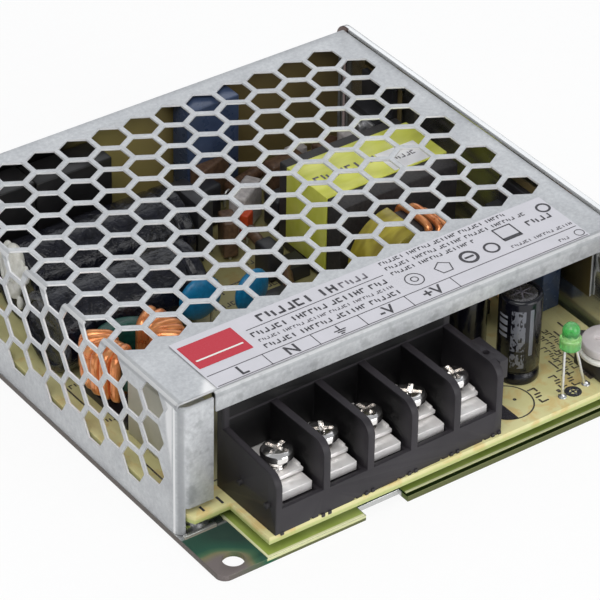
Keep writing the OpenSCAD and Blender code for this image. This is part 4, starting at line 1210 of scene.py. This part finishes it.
# Print and solder on the board
def board_print():
    """Ink circle with a filled segment, marks beside the parts, and a soldered hole."""
    top = high("circuit_board").z + PRINT_LIFT
    x, y = 18.6 * MM, -42.1 * MM
    circle = ring_outline(x, y, 5.15 * MM, 0.28 * MM, top)
    segment = flat_disc(x, y, 5.0 * MM, top, 64)
    start_edit()
    bpy.ops.mesh.bisect(plane_co=(17.7 * MM, y, top), plane_no=(1, 0, 0), clear_outer=True)
    end_edit()
    dot = ring_outline(20.4 * MM, -42.2 * MM, 0.35 * MM, 0.3 * MM, top)
    star_x, star_y = 30.6 * MM, -46.3 * MM
    ring = ring_outline(star_x, star_y, 1.6 * MM, 0.9 * MM, top)
    settle(join([circle, segment, dot, ring]), "board_ink_circle", BLACK_INK)

    marks = []
    # Rows that read along Y: x, start, length and height
    for column, start, length, tall in (
            (24.7, -45.2, 4.4, 1.7), (30.2, -43.8, 3.6, 1.5), (32.6, -44.6, 4.6, 1.5),
            (27.6, -35.4, 3.4, 1.2), (33.9, -41.4, 4.4, 1.3), (35.7, -40.6, 5.0, 1.3),
            (34.4, -36.6, 4.0, 1.2), (36.2, -34.8, 5.0, 1.2), (38.0, -33.6, 4.6, 1.2)):
        for across, up, wide, deep in row_of_marks(0, 0, length, tall):
            marks.append((column * MM - up, start * MM + across, deep, wide))
    marks += in_metres(((28.6, -44.7, 0.7, 0.9), (28.2, -46.6, 0.6, 0.5), (36.8, -43.6, 2.6, 3.2),
                        (32.8, -38.0, 0.35, 3.0), (37.2, -37.6, 0.35, 2.6), (34.9, -38.6, 1.4, 0.35),
                        (39.4, -31.2, 0.4, 2.6), (41.8, -31.0, 0.4, 6.0)))
    settle(flat_bars(marks, top), "board_ink_marks", BROWN_INK)

    ticks = in_metres(((-39.6, -35.9, 0.5, 2.2), (-43.5, -36.2, 0.5, 1.5)))
    settle(flat_bars(ticks, top), "board_edge_ticks", BLACK_INK)

    star = [(star_x, star_y, 2.4 * MM, 0.35 * MM), (star_x, star_y, 0.35 * MM, 2.4 * MM)]
    settle(flat_bars(star, top + PRINT_LIFT), "board_star_pad", SOLDER)
    pads = []
    for foot_x, foot_y in ((28.03, -46.4), (33.97, -45.8)):
        profile = ((0.85, 0), (0.8, 0.1), (0.5, 0.25), (0.36, 0.55), (0.3, 0.6))
        rings = [(rim * MM, top + up * MM) for rim, up in profile]
        pads.append(lathe(foot_x * MM, foot_y * MM, rings, sides=24))
    settle(join(pads), "lamp_solder", SOLDER)


def inner_print():
    """Traces and marks on the board further in, and marks on the transformer's tape and sticker."""
    top = high("circuit_board").z + PRINT_LIFT
    traces = in_metres((
        (-34, -14, 0.35, 22), (-30, -10, 0.35, 16), (-44, 4, 0.35, 14), (-26, -8, 8, 0.35),
        (-12, -12, 9, 0.35), (-6, 8.6, 8, 0.35), (-9, 15, 0.35, 9), (-4, 18, 0.35, 8), (2, 16, 7, 0.35),
        (8, 3, 0.35, 8), (-2, 22, 5, 0.35), (0, -2, 4, 0.35), (-14, -8, 0.35, 8), (-44.5, -24, 0.35, 10),
        (-39, -31, 9, 0.35)))
    marks = rows_of_marks((-9, 11, 6, 1.3), (1, 12, 5, 1.3), (-7, 19.4, 5, 1.2), (-24, -12, 6, 1.4),
                          (-4, -1.6, 6, 1.2), (-43, 6, 5, 1.2), (-44, -6, 4, 1.2), (4, 20, 5, 1.2))
    settle(flat_bars(traces + marks, top), "board_inner_marks", BROWN_INK)
    tape_top = high("transformer_tape").z + PRINT_LIFT
    settle(flat_bars(row_of_marks(15.8, 12.2, 15.0, 1.9), tape_top), "tape_marks", GREY_INK)
    sticker = middle("transformer_sticker")
    sticker_top = high("transformer_sticker").z + PRINT_LIFT
    lines = row_of_marks(sticker.x / MM - 2.6, sticker.y / MM, 5.0, 1.2)
    settle(flat_bars(lines, sticker_top), "sticker_marks", GREY_INK)


# Cover
def one_piece_cover():
    """The folded sheet as one skin, thinned a little and with its edges eased; it stands for its faces."""
    faces = ["cover_top", "cover_side", "cover_rear"]
    piece, *others = [own_copy(node) for node in faces]
    pick(piece)
    for sheet in others:
        work(piece, "BOOLEAN", object=sheet, operation="UNION", solver="EXACT")
        bpy.data.objects.remove(sheet)
    start_edit()
    merge_faces()
    bpy.ops.transform.shrink_fatten(value=-0.1 * MM, use_even_offset=True)
    end_edit()
    ease_edges(piece, 0.05 * MM, 40)
    settle(piece, "cover_finish", ZINC, stands_for=faces)


# Camera, light and floor
def camera():
    """The photograph's camera: direction, roll, distance and shift along its own axes."""
    back = Vector((math.sin(CAMERA_AZIMUTH) * math.cos(CAMERA_ELEVATION),
                   -math.cos(CAMERA_AZIMUTH) * math.cos(CAMERA_ELEVATION), math.sin(CAMERA_ELEVATION)))
    level = Vector((math.cos(CAMERA_AZIMUTH), math.sin(CAMERA_AZIMUTH), 0))
    upright = back.cross(level)
    right = level * math.cos(CAMERA_ROLL) + upright * math.sin(CAMERA_ROLL)
    up = upright * math.cos(CAMERA_ROLL) - level * math.sin(CAMERA_ROLL)
    place = back * CAMERA_DISTANCE + right * CAMERA_SHIFT[0] + up * CAMERA_SHIFT[1]
    data = bpy.data.cameras.new("photo_camera")
    data.sensor_width = SENSOR
    data.lens = SENSOR * FOCAL_PIXELS / PICTURE_PIXELS
    data.clip_start = 0.01
    eye = bpy.data.objects.new("photo_camera", data)
    turn = Matrix((right, up, back)).transposed().to_4x4()
    eye.matrix_world = Matrix.Translation(place) @ turn
    bpy.context.scene.collection.objects.link(eye)
    bpy.context.scene.camera = eye


def soft_lamp(name, place, aim, size, watts, colour=(1, 1, 1)):
    data = bpy.data.lights.new(name, "AREA")
    data.shape = "SQUARE"
    data.size = size
    data.energy = watts
    data.color = colour
    lamp = bpy.data.objects.new(name, data)
    lamp.location = place
    lamp.rotation_euler = (Vector(place) - Vector(aim)).to_track_quat("Z", "Y").to_euler()
    bpy.context.scene.collection.objects.link(lamp)


def studio():
    """Plain soft light, a white surround, and a pale floor under the base."""
    world = bpy.data.worlds.new("studio")
    bpy.context.scene.world = world
    world.use_nodes = True
    sky = Nodes(world.node_tree)
    room = sky.node("ShaderNodeBackground", inputs={"Color": (0.92, 0.95, 1.0, 1), "Strength": 0.42})
    white = sky.node("ShaderNodeBackground", inputs={"Color": (1, 1, 1, 1)})
    camera_ray = sky.node("ShaderNodeLightPath", output="Is Camera Ray")
    glass_ray = sky.node("ShaderNodeLightPath", output="Is Transmission Ray")
    seen = camera_ray.math("MAXIMUM", camera_ray, glass_ray)
    surround = sky.node("ShaderNodeMixShader", inputs={0: seen, 1: room, 2: white})
    sky.node("ShaderNodeOutputWorld", inputs={"Surface": surround})
    aim = (0, 0, 0.02)
    soft_lamp("key_lamp", (-0.35, -0.35, 0.75), aim, 0.6, 4.0, (1.0, 0.99, 0.97))
    soft_lamp("front_fill", (0.25, -0.8, 0.3), aim, 0.6, 3.0)
    soft_lamp("back_fill", (0.5, 0.6, 0.6), aim, 0.7, 1.5, (0.95, 0.97, 1.0))
    floor = add(bpy.ops.mesh.primitive_plane_add, size=6.0, location=(0, 0, low("chassis").z - 0.05 * MM))
    floor.name = "floor"
    floor.data.materials.append(floor_paper())
    bpy.context.scene.view_settings.view_transform = "Standard"


dress_nodes()
label_print()
terminal_row()
one_piece_cover()
rounded_nodes()
windings()
standing_cans()
dipped_discs()
small_parts()
lamp()
glue_drips()
board_print()
inner_print()
camera()
studio()
